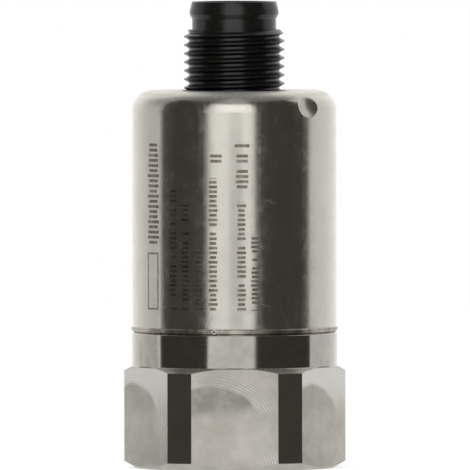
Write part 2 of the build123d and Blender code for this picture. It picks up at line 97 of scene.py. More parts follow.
def take_up(piece: Piece) -> None:
    """Leaves one piece selected and active, in object mode.

    Args:
        piece: The piece to work on.
    """
    if bpy.context.object and bpy.context.object.mode != "OBJECT":
        bpy.ops.object.mode_set(mode="OBJECT")
    bpy.ops.object.select_all(action="DESELECT")
    piece.select_set(True)
    bpy.context.view_layer.objects.active = piece


def put_down() -> None:
    """Leaves nothing selected, in object mode."""
    if bpy.context.object and bpy.context.object.mode != "OBJECT":
        bpy.ops.object.mode_set(mode="OBJECT")
    bpy.ops.object.select_all(action="DESELECT")


def pick(piece: Piece, wanted: Callable[[Vector], bool], by_face: bool = False) -> None:
    """Opens a piece in edit mode with the wanted points, or the faces with wanted middles, selected.

    Args:
        piece: The piece to open.
        wanted: Says whether a place is wanted.
        by_face: Whether the middles of faces are tested, and not points.
    """
    take_up(piece)
    bpy.ops.object.mode_set(mode="EDIT")
    bpy.ops.mesh.select_mode(type="FACE" if by_face else "VERT")
    bpy.ops.mesh.select_all(action="DESELECT")
    bpy.ops.object.mode_set(mode="OBJECT")
    for part in piece.data.polygons if by_face else piece.data.vertices:
        part.select = wanted(part.center if by_face else part.co)
    bpy.ops.object.mode_set(mode="EDIT")


def pick_all(piece: Piece) -> None:
    """Opens a piece in edit mode with all of it selected."""
    take_up(piece)
    bpy.ops.object.mode_set(mode="EDIT")
    bpy.ops.mesh.select_all(action="SELECT")


def name_piece(piece: Piece, name: str) -> Piece:
    """Names a piece and its mesh, with its place moved into its mesh.

    Args:
        piece: The piece.
        name: Its name.

    Returns:
        The piece.
    """
    take_up(piece)
    bpy.ops.object.transform_apply(location=True, rotation=True, scale=True)
    piece.name = name
    piece.data.name = name
    return piece


def apply_modifier(piece: Piece, kind: str, **settings: object) -> None:
    """Adds a modifier to a piece, sets it and applies it.

    Args:
        piece: The piece.
        kind: Blender's word for the modifier.
        settings: Its settings by name.
    """
    take_up(piece)
    modifier = piece.modifiers.new(kind.lower(), kind)
    for name, value in settings.items():
        setattr(modifier, name, value)
    bpy.ops.object.modifier_apply(modifier=modifier.name)


def cut_with(piece: Piece, tool: Piece) -> None:
    """Cuts a piece with a closed shape, and removes that shape."""
    apply_modifier(piece, "BOOLEAN", object=tool, operation="DIFFERENCE", solver="EXACT")
    take_up(tool)
    bpy.ops.object.delete()


def merged_copy(node: str, name: str) -> Piece:
    """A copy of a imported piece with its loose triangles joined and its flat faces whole.

    Args:
        node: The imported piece's name.
        name: The copy's name.

    Returns:
        The copy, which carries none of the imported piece's marks.
    """
    take_up(frame["nodes"][node])
    bpy.ops.object.duplicate()
    piece = bpy.context.object
    bpy.ops.object.parent_clear(type="CLEAR_KEEP_TRANSFORM")
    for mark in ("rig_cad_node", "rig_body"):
        del piece[mark]
    bpy.ops.mesh.customdata_custom_splitnormals_clear()
    pick_all(piece)
    bpy.ops.mesh.remove_doubles(threshold=MERGE_DISTANCE)
    bpy.ops.mesh.dissolve_limited(angle_limit=EVEN_ANGLE)
    bpy.ops.object.mode_set(mode="OBJECT")
    return name_piece(piece, name)


def smooth(piece: Piece, sharp_angle: float) -> None:
    """Shades a piece smooth, with its sharper edges kept and its large faces kept even.

    Args:
        piece: The piece.
        sharp_angle: The angle in degrees from which an edge stays sharp.
    """
    take_up(piece)
    bpy.ops.object.shade_smooth_by_angle(angle=radians(sharp_angle))
    apply_modifier(piece, "WEIGHTED_NORMAL", keep_sharp=True)


def new_material(name: str) -> tuple[bpy.types.Material, "NodeBench"]:
    """A new material with nodes, and the bench of its tree."""
    material = bpy.data.materials.new(name)
    material.use_nodes = True
    return material, NodeBench(material.node_tree)


def give_materials(piece: Piece, materials: list[bpy.types.Material]) -> None:
    """Puts materials in a new piece's slots, in their order."""
    piece.data.materials.clear()
    for material in materials:
        piece.data.materials.append(material)


def paint_faces(piece: Piece, slot: int, wanted: Callable[[Vector], bool]) -> None:
    """Gives the wanted faces of a piece the material in one of its slots.

    Args:
        piece: The piece.
        slot: The slot's number.
        wanted: Says whether a face with this middle gets the material.
    """
    pick(piece, wanted, by_face=True)
    piece.active_material_index = slot
    bpy.ops.object.material_slot_assign()
    bpy.ops.object.mode_set(mode="OBJECT")


def hand_over(piece: Piece, node: str) -> None:
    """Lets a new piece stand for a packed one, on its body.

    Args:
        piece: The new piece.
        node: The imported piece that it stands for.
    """
    put_down()
    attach(piece, BODY)
    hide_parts(node)
    log.info("%s stands for %s with %d faces", piece.name, node, len(piece.data.polygons))


def radius_of(place: Vector) -> float:
    """Distance of a place from the sensor's axis."""
    return Vector((place.x, place.y)).length


@dataclass
class NodeBench:
    """A node tree and short ways to add and join its nodes.

    Attributes:
        tree: The node tree of a material, a world or a group.
    """

    tree: bpy.types.NodeTree

    def feed(self, socket: Socket, value: object) -> None:
        """Joins an output to a socket, or sets the socket to a plain value."""
        if isinstance(value, bpy.types.NodeSocket):
            self.tree.links.new(value, socket)
        else:
            socket.default_value = value

    def add(
        self, kind: str, inputs: dict[str | int, object] | None = None, **settings: object
    ) -> bpy.types.Node:
        """Adds a node.

        Args:
            kind: Blender's word for the node.
            inputs: Values or outputs for its inputs, by name or number.
            settings: The node's own settings by name.

        Returns:
            The node.
        """
        node = self.tree.nodes.new(kind)
        for name, value in settings.items():
            setattr(node, name, value)
        for name, value in (inputs or {}).items():
            self.feed(node.inputs[name], value)
        return node

    def math(self, operation: str, *values: object) -> Socket:
        """The result of a sum or function of one or two values."""
        return self.add("ShaderNodeMath", dict(enumerate(values)), operation=operation).outputs[0]

    def plus(self, first: object, second: object) -> Socket:
        """The sum of two values."""
        return self.math("ADD", first, second)

    def minus(self, first: object, second: object) -> Socket:
        """The first value less the second."""
        return self.math("SUBTRACT", first, second)

    def times(self, *values: object) -> Socket:
        """The product of the values."""
        return reduce(lambda first, second: self.math("MULTIPLY", first, second), values)

    def largest(self, *values: object) -> Socket:
        """The largest of the values."""
        return reduce(lambda first, second: self.math("MAXIMUM", first, second), values)

    def amount(self, value: Socket) -> Socket:
        """A value without its sign."""
        return self.math("ABSOLUTE", value)

    def blend(self, share: Socket, first: object, second: object) -> Socket:
        """Two values mixed, with a share of the first."""
        return self.plus(self.times(share, first), self.times(self.minus(1.0, share), second))

    def ramp(self, value: Socket, low: object, high: object, start: float = 0.0, end: float = 1.0) -> Socket:
        """A value turned smoothly from start to end between two limits."""
        node = self.add(
            "ShaderNodeMapRange",
            {"Value": value, "From Min": low, "From Max": high, "To Min": start, "To Max": end},
            interpolation_type="SMOOTHSTEP",
        )
        return node.outputs["Result"]

    def mix(self, share: Socket, first: object, second: object) -> Socket:
        """Two colours mixed by a share, each an output or three plain numbers."""
        node = self.add("ShaderNodeMix", {"Factor": share}, data_type="RGBA")
        for number, colour in ((6, first), (7, second)):
            self.feed(node.inputs[number], (*colour, 1) if isinstance(colour, tuple) else colour)
        return node.outputs[2]

    def place(self) -> Socket:
        """The place on the piece, in metres."""
        return self.add("ShaderNodeTexCoord").outputs["Object"]

    def lengths(self) -> list[Socket]:
        """The place on the piece as its lengths along X, Y and Z."""
        return list(self.add("ShaderNodeSeparateXYZ", {0: self.place()}).outputs)

    def from_front(self, x: Socket, y: Socket) -> Socket:
        """Azimuth from the front in radians, growing to the right."""
        return self.math("ARCTAN2", x, self.times(y, -1.0))

    def noise(self, vector: Socket, scale: object, detail: float = 3.0, roughness: float = 0.5) -> Socket:
        """Soft noise about a half at places given by a vector."""
        node = self.add(
            "ShaderNodeTexNoise",
            {"Vector": vector, "Scale": scale, "Detail": detail, "Roughness": roughness},
        )
        return node.outputs["Fac"]

    def group(self, name: str, values: dict[str, object]) -> bpy.types.Node:
        """A shared effect placed in this tree with its own values, built where it is first used."""
        effect = bpy.data.node_groups.get(name) or EFFECTS[name]()
        return self.add("ShaderNodeGroup", values, node_tree=effect)


@dataclass
class EffectBench(NodeBench):
    """The bench of an effect that more than one material can use.

    Attributes:
        source: The node of the group's inputs.
        target: The node of its outputs.
    """

    source: bpy.types.Node
    target: bpy.types.Node

    def given(self, name: str) -> Socket:
        """An input of the group."""
        return self.source.outputs[name]

    def put_out(self, name: str, value: Socket) -> None:
        """Joins a value to an output of the group."""
        self.feed(self.target.inputs[name], value)


def new_effect(name: str, inputs: dict[str, float], outputs: list[str]) -> EffectBench:
    """Starts a node group with named number inputs and outputs.

    Args:
        name: The group's name.
        inputs: Its inputs with their first values.
        outputs: Its outputs.

    Returns:
        The bench of the group.
    """
    tree = bpy.data.node_groups.new(name, "ShaderNodeTree")
    for key, value in inputs.items():
        socket = tree.interface.new_socket(key, in_out="INPUT", socket_type="NodeSocketFloat")
        socket.default_value = value
    for key in outputs:
        tree.interface.new_socket(key, in_out="OUTPUT", socket_type="NodeSocketFloat")
    return EffectBench(tree, tree.nodes.new("NodeGroupInput"), tree.nodes.new("NodeGroupOutput"))


# Values between which most of a noise lies, and how much wider its slow tone is than its lines
NOISE_SPAN = (0.3, 0.7)
SLOW_TONE = 0.08


def lined_grain() -> bpy.types.NodeTree:
    """Grain of fine lines: noise stretched across or along the axis."""
    bench = new_effect("lined grain", {"Scale": 4000.0, "Across": 1.0, "Along": 1.0}, ["Grain", "Tone"])
    across = bench.given("Across")
    stretch = bench.add("ShaderNodeCombineXYZ", {"X": across, "Y": across, "Z": bench.given("Along")})
    stretched = bench.add(
        "ShaderNodeVectorMath", {0: bench.place(), 1: stretch.outputs[0]}, operation="MULTIPLY"
    )
    bench.put_out("Grain", bench.noise(stretched.outputs[0], bench.given("Scale"), 4.0, 0.6))
    slow = bench.noise(bench.place(), bench.times(bench.given("Scale"), SLOW_TONE), 2.0)
    bench.put_out("Tone", bench.ramp(slow, *NOISE_SPAN))
    return bench.tree


# Turn and stretch of each lay of hairlines, and the noise values at which marks start and are whole
HAIRLINE_LAYS = ((0.35, 0.045), (-0.5, 0.07), (1.3, 0.09))
HAIRLINE_DEPTH_STRETCH = 0.3
HAIRLINE_START = (0.73, 0.8)
SPECKLED_SCALE = 300.0
SPECKLED_START = (0.5, 0.62)
STREAK_STRETCH = 0.02
RUBBED_START = (0.42, 0.7)


def handling_marks() -> bpy.types.NodeTree:
    """Short straight hairlines, small specks, faint streaks of drawing and rubbed patches."""
    bench = new_effect(
        "handling marks",
        {
            "Hairline Scale": 1500.0,
            "Speck Scale": 1900.0,
            "Speck Size": 0.2,
            "Streak Scale": 900.0,
            "Rub Scale": 700.0,
        },
        ["Hairlines", "Specks", "Streaks", "Rubbed"],
    )
    place = bench.place()
    hairlines = []
    for turn, length in HAIRLINE_LAYS:
        turned = bench.add("ShaderNodeMapping", {"Vector": place, "Rotation": (0.0, turn, 0.0)}).outputs[0]
        stretch = (1.0, HAIRLINE_DEPTH_STRETCH, length)
        pulled = bench.add("ShaderNodeMapping", {"Vector": turned, "Scale": stretch}).outputs[0]
        lines = bench.noise(pulled, bench.given("Hairline Scale"), 1.0)
        hairlines.append(bench.ramp(lines, *HAIRLINE_START))
    bench.put_out("Hairlines", bench.largest(*hairlines))
    cells = bench.add("ShaderNodeTexVoronoi", {"Vector": place, "Scale": bench.given("Speck Scale")})
    dot = bench.minus(1.0, bench.ramp(cells.outputs["Distance"], 0.0, bench.given("Speck Size")))
    speckled = bench.ramp(bench.noise(place, SPECKLED_SCALE, 2.0), *SPECKLED_START)
    bench.put_out("Specks", bench.times(dot, speckled))
    drawn = bench.add("ShaderNodeMapping", {"Vector": place, "Scale": (1.0, 1.0, STREAK_STRETCH)}).outputs[0]
    bench.put_out("Streaks", bench.noise(drawn, bench.given("Streak Scale"), 3.0, 0.6))
    rubbed = bench.noise(place, bench.given("Rub Scale"), 5.0, 0.7)
    bench.put_out("Rubbed", bench.ramp(rubbed, *RUBBED_START))
    return bench.tree


# Marks of the face mill: lengths are distances past the last ring, heights or places across a flat
FLAT_ANGLE = radians(60.0)
MILL_WOBBLE = 0.6 * MM
ARC_MIDDLE = 0.7 * MM
ARC_REACH = 2.1 * MM
ARC_GROWTH = (-3.0 * MM, 3.0 * MM, 0.35, 1.0)
RING_EDGE = (-0.3 * MM, 0.1 * MM)
CRESCENT_SLOPE = 0.1
CRESCENT_START = (2.6 * MM, 4.4 * MM)
SIDE_START = 7.1 * MM
SIDE_FADING = 0.65
FRESH_EDGE = (-0.3 * MM, 0.4 * MM)
FRESH_HEIGHTS = (5.0 * MM, 10.5 * MM)
FRESH_SHARE = 0.75


def milling_arcs() -> bpy.types.NodeTree:
    """Arcs that a face mill leaves on each flat of the hexagon, its last round mark and the patches in it."""
    bench = new_effect(
        "milling arcs",
        {"Across": -2.9 * MM, "Height": 3.2 * MM, "Feed": 0.33 * MM, "Ring": 6.85 * MM},
        ["Arcs", "Crescent", "Fresh", "Patch"],
    )
    x, y, z = bench.lengths()
    sector = bench.plus(bench.math("SNAP", bench.math("ARCTAN2", y, x), FLAT_ANGLE), FLAT_ANGLE / 2)
    flat_place = bench.minus(
        bench.times(y, bench.math("COSINE", sector)), bench.times(x, bench.math("SINE", sector))
    )
    across = bench.minus(flat_place, bench.given("Across"))
    height = bench.minus(z, bench.given("Height"))
    squares = bench.plus(bench.times(across, across), bench.times(height, height))
    wobble = bench.times(bench.minus(bench.noise(bench.place(), 500.0, 2.0), 0.5), MILL_WOBBLE)
    reach = bench.plus(bench.math("SQRT", squares), wobble)
    past_ring = bench.minus(reach, bench.given("Ring"))

    wave = bench.math("SINE", bench.times(bench.math("DIVIDE", reach, bench.given("Feed")), FULL_TURN))
    near = bench.ramp(bench.amount(bench.minus(past_ring, ARC_MIDDLE)), 0.0, ARC_REACH, 1.0, 0.0)
    broken = bench.ramp(bench.noise(bench.place(), 520.0, 3.0, 0.6), 0.42, 0.6)
    strong = bench.times(near, broken, bench.ramp(flat_place, *ARC_GROWTH))
    bench.put_out("Arcs", bench.times(wave, strong))

    side = bench.math("GREATER_THAN", bench.amount(x), SIDE_START)
    inside = bench.ramp(past_ring, *RING_EDGE, 1.0, 0.0)
    upper = bench.ramp(bench.minus(height, bench.times(across, CRESCENT_SLOPE)), *CRESCENT_START)
    uneven = bench.ramp(bench.noise(bench.place(), 420.0, 3.0, 0.6), 0.3, 0.6, 0.45, 1.0)
    fainter = bench.minus(1.0, bench.times(side, SIDE_FADING))
    bench.put_out("Crescent", bench.times(inside, upper, uneven, fainter))

    fresh = bench.times(bench.ramp(past_ring, *FRESH_EDGE), bench.ramp(z, *FRESH_HEIGHTS))
    bench.put_out("Fresh", bench.times(fresh, side, FRESH_SHARE))
    bench.put_out("Patch", bench.ramp(bench.noise(bench.place(), 240.0, 4.0, 0.66), 0.34, 0.66))
    return bench.tree


# Soft edge of a laser mark, share of ticks left out, half width of a tick as a share of its row and how
# much that varies, and a tick's share of the spacing
MARK_SOFTNESS = 0.04 * MM
GAP_SHARE = 0.14
HALF_TICK_WIDTH = 0.3
TICK_WIDTH_CHANGE = 0.2
TICK_SHARE = 0.6


def beside_row(bench: EffectBench, x: Socket, y: Socket) -> Socket:
    """How far a place lies from the middle line of a row of marks, round the housing."""
    turned = bench.minus(bench.from_front(x, y), bench.given("Azimuth"))
    return bench.amount(bench.times(turned, bench.given("Radius")))


def inside_mark(bench: EffectBench, past_edge: Socket) -> Socket:
    """One in a laser mark and none past its soft edge."""
    return bench.ramp(past_edge, -MARK_SOFTNESS, MARK_SOFTNESS, 1.0, 0.0)


def laser_ticks() -> bpy.types.NodeTree:
    """One row of plain short bars of uneven width along the axis, at a place round the housing."""
    bench = new_effect(
        "laser ticks",
        {
            "Azimuth": 0.0,
            "Low": 20 * MM,
            "High": 40 * MM,
            "Row Width": 1.1 * MM,
            "Spacing": 0.6 * MM,
            "Tick": 0.2 * MM,
            "Radius": 12 * MM,
        },
        ["Mask"],
    )
    x, y, z = bench.lengths()
    spacing = bench.given("Spacing")
    count = bench.math("DIVIDE", z, spacing)
    number = {"X": bench.math("FLOOR", count), "Y": bench.given("Azimuth")}
    cell = bench.add("ShaderNodeCombineXYZ", number).outputs[0]
    chance = bench.add("ShaderNodeTexWhiteNoise", {"Vector": cell}).outputs["Value"]
    present = bench.math("GREATER_THAN", chance, GAP_SHARE)
    half_share = bench.plus(HALF_TICK_WIDTH, bench.times(chance, TICK_WIDTH_CHANGE))
    half_row = bench.times(bench.given("Row Width"), half_share)
    inside = inside_mark(bench, bench.minus(beside_row(bench, x, y), half_row))
    off_middle = bench.times(bench.amount(bench.minus(bench.math("FRACT", count), 0.5)), spacing)
    tick = inside_mark(bench, bench.minus(off_middle, bench.times(bench.given("Tick"), 0.5)))
    above = bench.math("GREATER_THAN", z, bench.given("Low"))
    below = bench.math("LESS_THAN", z, bench.given("High"))
    bench.put_out("Mask", bench.times(inside, tick, above, below, present))
    return bench.tree


def laser_frame() -> bpy.types.NodeTree:
    """One plain empty frame with its long sides along the axis, at a place round the housing."""
    bench = new_effect(
        "laser frame",
        {
            "Azimuth": 0.0,
            "Low": 20 * MM,
            "High": 40 * MM,
            "Row Width": 2.0 * MM,
            "Line": 0.2 * MM,
            "Radius": 12 * MM,
        },
        ["Mask"],
    )
    x, y, z = bench.lengths()
    past_side = bench.minus(beside_row(bench, x, y), bench.times(bench.given("Row Width"), 0.5))
    past_low = bench.minus(bench.given("Low"), z)
    past_high = bench.minus(z, bench.given("High"))
    outside = bench.largest(past_low, past_high, past_side)
    half_line = bench.times(bench.given("Line"), 0.5)
    off_line = bench.amount(bench.plus(outside, half_line))
    bench.put_out("Mask", inside_mark(bench, bench.minus(off_line, half_line)))
    return bench.tree


EFFECTS: dict[str, Callable[[], bpy.types.NodeTree]] = {
    "lined grain": lined_grain,
    "handling marks": handling_marks,
    "milling arcs": milling_arcs,
    "laser ticks": laser_ticks,
    "laser frame": laser_frame,
}


@dataclass(frozen=True)
class Finish:
    """A surface's colour and gloss with the fine grain that making it leaves.

    Attributes:
        name: The material's name.
        colour: Its colour where the grain is even.
        metallic: One on metal, and none elsewhere.
        roughness: Its roughness where the grain is even.
        lay: The direction of the grain's lines.
        grain_scale: Lines in a metre, about.
        tone_change: Share by which the colour varies.
        roughness_change: How much the roughness varies.
        bump: Depth of the grain in metres.
    """

    name: str
    colour: Colour
    metallic: float = 0.0
    roughness: float = 0.4
    lay: Lay = Lay.CLOUDY
    grain_scale: float = 4000.0
    tone_change: float = 0.08
    roughness_change: float = 0.06
    bump: float = 0.002 * MM

    def material(self) -> bpy.types.Material:
        """The material of this finish, made once.

        Returns:
            The material.
        """
        if self.name in bpy.data.materials:
            return bpy.data.materials[self.name]
        material, bench = new_material(self.name)
        shader = bench.tree.nodes["Principled BSDF"]
        shader.inputs["Metallic"].default_value = self.metallic
        across, along = self.lay.value
        grain = bench.group("lined grain", {"Scale": self.grain_scale, "Across": across, "Along": along})
        darker = tuple(part * (1 - self.tone_change) for part in self.colour)
        lighter = tuple(min(1.0, part * (1 + self.tone_change)) for part in self.colour)
        colour = bench.mix(grain.outputs["Tone"], darker, lighter)
        smoothest = self.roughness - self.roughness_change / 2
        roughest = self.roughness + self.roughness_change / 2
        roughness = bench.ramp(grain.outputs["Grain"], *NOISE_SPAN, smoothest, roughest)
        height = bench.times(grain.outputs["Grain"], self.bump)
        colour, roughness, height = self.marks(bench, (colour, roughness, height))
        bump = bench.add("ShaderNodeBump", {"Height": height, "Distance": 1.0})
        bench.feed(shader.inputs["Base Color"], colour)
        bench.feed(shader.inputs["Roughness"], roughness)
        bench.feed(shader.inputs["Normal"], bump.outputs["Normal"])
        return material

    def marks(self, bench: NodeBench, surface: Surface) -> Surface:
        """The surface with what this finish adds to its grain, which here is nothing."""
        return surface


@dataclass(frozen=True)
class MarkRow:
    """A row of laser ticks along the axis, or an empty frame, with its lengths in millimetres.

    Attributes:
        azimuth: Its azimuth in degrees from the front.
        low: Its lowest place.
        high: Its highest place.
        width: Its width.
        spacing: Distance from tick to tick, which a frame doesn't have.
    """

    azimuth: float
    low: float
    high: float
    width: float
    spacing: float | None = None

    def mask(self, bench: NodeBench) -> Socket:
        """One on the row's marks and none beside them."""
        values = {"Azimuth": radians(self.azimuth)}
        values |= {"Low": self.low * MM, "High": self.high * MM, "Row Width": self.width * MM}
        if self.spacing is None:
            return bench.group("laser frame", values).outputs["Mask"]
        values |= {"Spacing": self.spacing * MM, "Tick": self.spacing * MM * TICK_SHARE}
        return bench.group("laser ticks", values).outputs["Mask"]


@dataclass(frozen=True)
class DrawnSteel(Finish):
    """Smooth drawn steel with scratches, specks and laser marks.

    Attributes:
        wear: How much duller the hairlines and specks are.
        wear_depth: How deep they are.
        streaking: How much duller the streaks of drawing are.
        rubbing: How much duller the rubbed patches are.
        rows: The rows of laser marks.
        mark_colour: Colour of the annealed steel in the marks.
        mark_strength: Shares of that colour in the faintest and the strongest marks.
        mark_dulling: How much duller the marks are.
        shoulder: Heights between which the steel gets duller, towards the top of the shoulder.
        shoulder_dulling: How much duller it gets.
        top: Heights between which the steel turns to the brighter colour of the pressed top.
        top_colour: That colour.
        punched: Middle of the punched dent, where the steel is duller.
        punched_reach: Distances from that middle between which the dull steel ends.
        punched_dulling: How much duller it is.
    """

    wear: float = 0.1
    wear_depth: float = 0.001 * MM
    streaking: float = 0.04
    rubbing: float = 0.08
    rows: tuple[MarkRow, ...] = ()
    mark_colour: Colour = (0.13, 0.095, 0.055)
    mark_strength: tuple[float, float] = (0.6, 0.85)
    mark_dulling: float = 0.15
    shoulder: tuple[float, float] = (43.6 * MM, 44.25 * MM)
    shoulder_dulling: float = 0.3
    top: tuple[float, float] = (43.85 * MM, 44.3 * MM)
    top_colour: Colour = (0.95, 0.93, 0.87)
    punched: tuple[float, float, float] = (8.71 * MM, -8.12 * MM, 42.61 * MM)
    punched_reach: tuple[float, float] = (1.1 * MM, 1.6 * MM)
    punched_dulling: float = 0.16

    def marks(self, bench: NodeBench, surface: Surface) -> Surface:
        """Adds the hairlines, the specks, the streaks, the duller places and the laser marks."""
        colour, roughness, height = surface
        handling = bench.group("handling marks", {}).outputs
        worn = bench.largest(handling["Hairlines"], handling["Specks"])
        height = bench.minus(height, bench.times(worn, self.wear_depth))
        up = bench.lengths()[2]
        off_dent = bench.add("ShaderNodeVectorMath", {0: bench.place(), 1: self.punched}, operation="DISTANCE")
        for duller in (
            bench.times(worn, self.wear),
            bench.times(bench.ramp(handling["Streaks"], *NOISE_SPAN), self.streaking),
            bench.times(handling["Rubbed"], self.rubbing),
            bench.ramp(up, *self.shoulder, 0.0, self.shoulder_dulling),
            bench.ramp(off_dent.outputs["Value"], *self.punched_reach, self.punched_dulling, 0.0),
        ):
            roughness = bench.plus(roughness, duller)
        colour = bench.mix(bench.ramp(up, *self.top), colour, self.top_colour)
        if self.rows:
            marked = bench.largest(*(row.mask(bench) for row in self.rows))
            strength = bench.ramp(bench.noise(bench.place(), 1500.0, 2.0), 0.3, 0.6, *self.mark_strength)
            share = bench.times(marked, strength)
            colour = bench.mix(share, colour, self.mark_colour)
            roughness = bench.plus(roughness, bench.times(share, self.mark_dulling))
        return colour, roughness, height


@dataclass(frozen=True)
class MilledSteel(Finish):
    """Face-milled steel of the flats, with the arcs of the cutter, a blotched tone and a painted shadow line
    under the collar.

    Attributes:
        patch_colour: Colour of the duller patches.
        crescent_colour: Colour of the cutter's last round mark.
        fresh_colour: Colour of the brighter steel that the cutter's last mark left out on the side flats.
        arc_depth: Depth of the cutter's arcs in metres.
        arc_tone: Share by which the arcs change the colour.
        painted_ledge_shadow: Heights between which the painted shadow under the collar's ledge starts, a dark
            line on the flats.
        painted_ledge_shadow_colour: Colour of that painted shadow.
        painted_ledge_shadow_share: Share of that colour in it.
    """

    patch_colour: Colour = (0.51, 0.485, 0.425)
    crescent_colour: Colour = (0.34, 0.325, 0.285)
    fresh_colour: Colour = (0.86, 0.85, 0.80)
    arc_depth: float = 0.005 * MM
    arc_tone: float = 0.4
    painted_ledge_shadow: tuple[float, float] = (11.88 * MM, 11.93 * MM)
    painted_ledge_shadow_colour: Colour = (0.10, 0.095, 0.08)
    painted_ledge_shadow_share: float = 0.8

    def marks(self, bench: NodeBench, surface: Surface) -> Surface:
        """Adds the patches, the round mark, the arcs and the painted shadow line under the collar."""
        colour, roughness, height = surface
        milled = bench.group("milling arcs", {}).outputs
        colour = bench.mix(milled["Patch"], self.patch_colour, colour)
        colour = bench.mix(milled["Crescent"], colour, self.crescent_colour)
        colour = bench.mix(milled["Fresh"], colour, self.fresh_colour)
        bright = bench.times(bench.largest(milled["Arcs"], 0.0), self.arc_tone)
        dark = bench.times(bench.math("MINIMUM", milled["Arcs"], 0.0), -self.arc_tone)
        colour = bench.mix(bright, colour, WHITE)
        colour = bench.mix(dark, colour, self.crescent_colour)
        height = bench.plus(height, bench.times(milled["Arcs"], self.arc_depth))
        # Painted shadow: a dark line on the flats just under the collar, where its ledge would shade them.
        painted_ledge_shadow = bench.ramp(bench.lengths()[2], *self.painted_ledge_shadow, 0.0, self.painted_ledge_shadow_share)
        return bench.mix(painted_ledge_shadow, colour, self.painted_ledge_shadow_colour), roughness, height


SLEEVE_ROWS = (
    MarkRow(-52.6, 26.3, 38.5, 2.2, 0.6),
    MarkRow(-36.9, 18.8, 33.0, 1.1, 0.55),
    MarkRow(-28.7, 18.8, 31.2, 1.0, 0.55),
    MarkRow(-20.1, 18.8, 26.6, 1.0, 0.55),
    MarkRow(-12.1, 18.8, 34.3, 1.1, 0.55),
    MarkRow(-10.4, 35.5, 38.5, 1.8, 0.6),
    MarkRow(3.9, 18.8, 31.5, 1.1, 0.55),
    MarkRow(4.3, 33.0, 38.4, 1.9, 0.6),
    MarkRow(11.5, 18.8, 27.5, 1.0, 0.5),
    MarkRow(-52.9, 18.8, 25.5, 2.05),
)

STEEL_COLOUR = (0.645, 0.62, 0.555)

SLEEVE_STEEL = DrawnSteel(
    "drawn steel",
    STEEL_COLOUR,
    metallic=1.0,
    roughness=0.16,
    lay=Lay.ALONG,
    grain_scale=3000.0,
    tone_change=0.03,
    roughness_change=0.05,
    bump=0.0006 * MM,
    rows=SLEEVE_ROWS,
)
TURNED_STEEL = Finish(
    "turned steel",
    (0.50, 0.48, 0.43),
    metallic=1.0,
    roughness=0.10,
    lay=Lay.AROUND,
    grain_scale=9000.0,
    tone_change=0.07,
    roughness_change=0.06,
    bump=0.0012 * MM,
)
CORNER_STEEL = Finish(
    "bar steel",
    STEEL_COLOUR,
    metallic=1.0,
    roughness=0.14,
    lay=Lay.ALONG,
    grain_scale=4000.0,
    tone_change=0.04,
    roughness_change=0.04,
    bump=0.0005 * MM,
)
CHAMFER_STEEL = Finish(
    "chamfered steel",
    (0.54, 0.52, 0.46),
    metallic=1.0,
    roughness=0.42,
    lay=Lay.AROUND,
    grain_scale=9000.0,
    tone_change=0.08,
    roughness_change=0.08,
)
FLAT_STEEL = MilledSteel(
    "milled steel",
    (0.615, 0.588, 0.532),
    metallic=1.0,
    roughness=0.36,
    grain_scale=5000.0,
    tone_change=0.06,
    roughness_change=0.1,
)
PORT_STEEL = Finish(
    "tapped steel",
    (0.52, 0.50, 0.46),
    metallic=1.0,
    roughness=0.28,
    lay=Lay.AROUND,
    grain_scale=8000.0,
)
WELD_STEEL = Finish(
    "weld steel",
    (0.46, 0.43, 0.37),
    metallic=1.0,
    roughness=0.34,
    grain_scale=9000.0,
    tone_change=0.3,
    roughness_change=0.2,
    bump=0.004 * MM,
)
PIT_STEEL = Finish(
    "fresh weld steel", (0.92, 0.90, 0.86), metallic=1.0, roughness=0.5, grain_scale=9000.0, tone_change=0.05
)
PIT_CUP = Finish("pit of the weld", (0.10, 0.09, 0.08), metallic=1.0, roughness=0.5, grain_scale=9000.0)
PLUG_PLASTIC = Finish(
    "black moulding",
    (0.0050, 0.0049, 0.0045),
    roughness=0.27,
    grain_scale=14000.0,
    tone_change=0.2,
    roughness_change=0.1,
)
CONTACT_GOLD = Finish(
    "gold plating",
    (0.83, 0.62, 0.30),
    metallic=1.0,
    roughness=0.22,
    lay=Lay.AROUND,
    grain_scale=12000.0,
    tone_change=0.04,
    bump=0.0006 * MM,
)
CELL_STEEL = Finish(
    "cell steel", STEEL_COLOUR, metallic=1.0, roughness=0.24, lay=Lay.AROUND, grain_scale=9000.0
)
BRIDGE_GLASS = Finish(
    "bridge glass", (0.05, 0.12, 0.20), roughness=0.12, grain_scale=2500.0, tone_change=0.15
)
BOARD_LAMINATE = Finish(
    "board laminate", (0.02, 0.13, 0.05), roughness=0.38, grain_scale=5000.0, tone_change=0.18
)
CARRIER_PLASTIC = Finish("carrier moulding", (0.52, 0.50, 0.45), roughness=0.48, grain_scale=7000.0)
PACKAGE_PLASTIC = Finish("package moulding", (0.018, 0.018, 0.019), roughness=0.52, grain_scale=12000.0)
CHIP_CERAMIC = Finish("chip ceramic", (0.42, 0.33, 0.22), roughness=0.42, grain_scale=9000.0)
TIN_SOLDER = Finish("tin solder", (0.72, 0.71, 0.69), metallic=1.0, roughness=0.26, grain_scale=6000.0)
SEAL_RUBBER = Finish(
    "seal rubber", (0.015, 0.03, 0.018), roughness=0.62, grain_scale=8000.0, tone_change=0.2
)


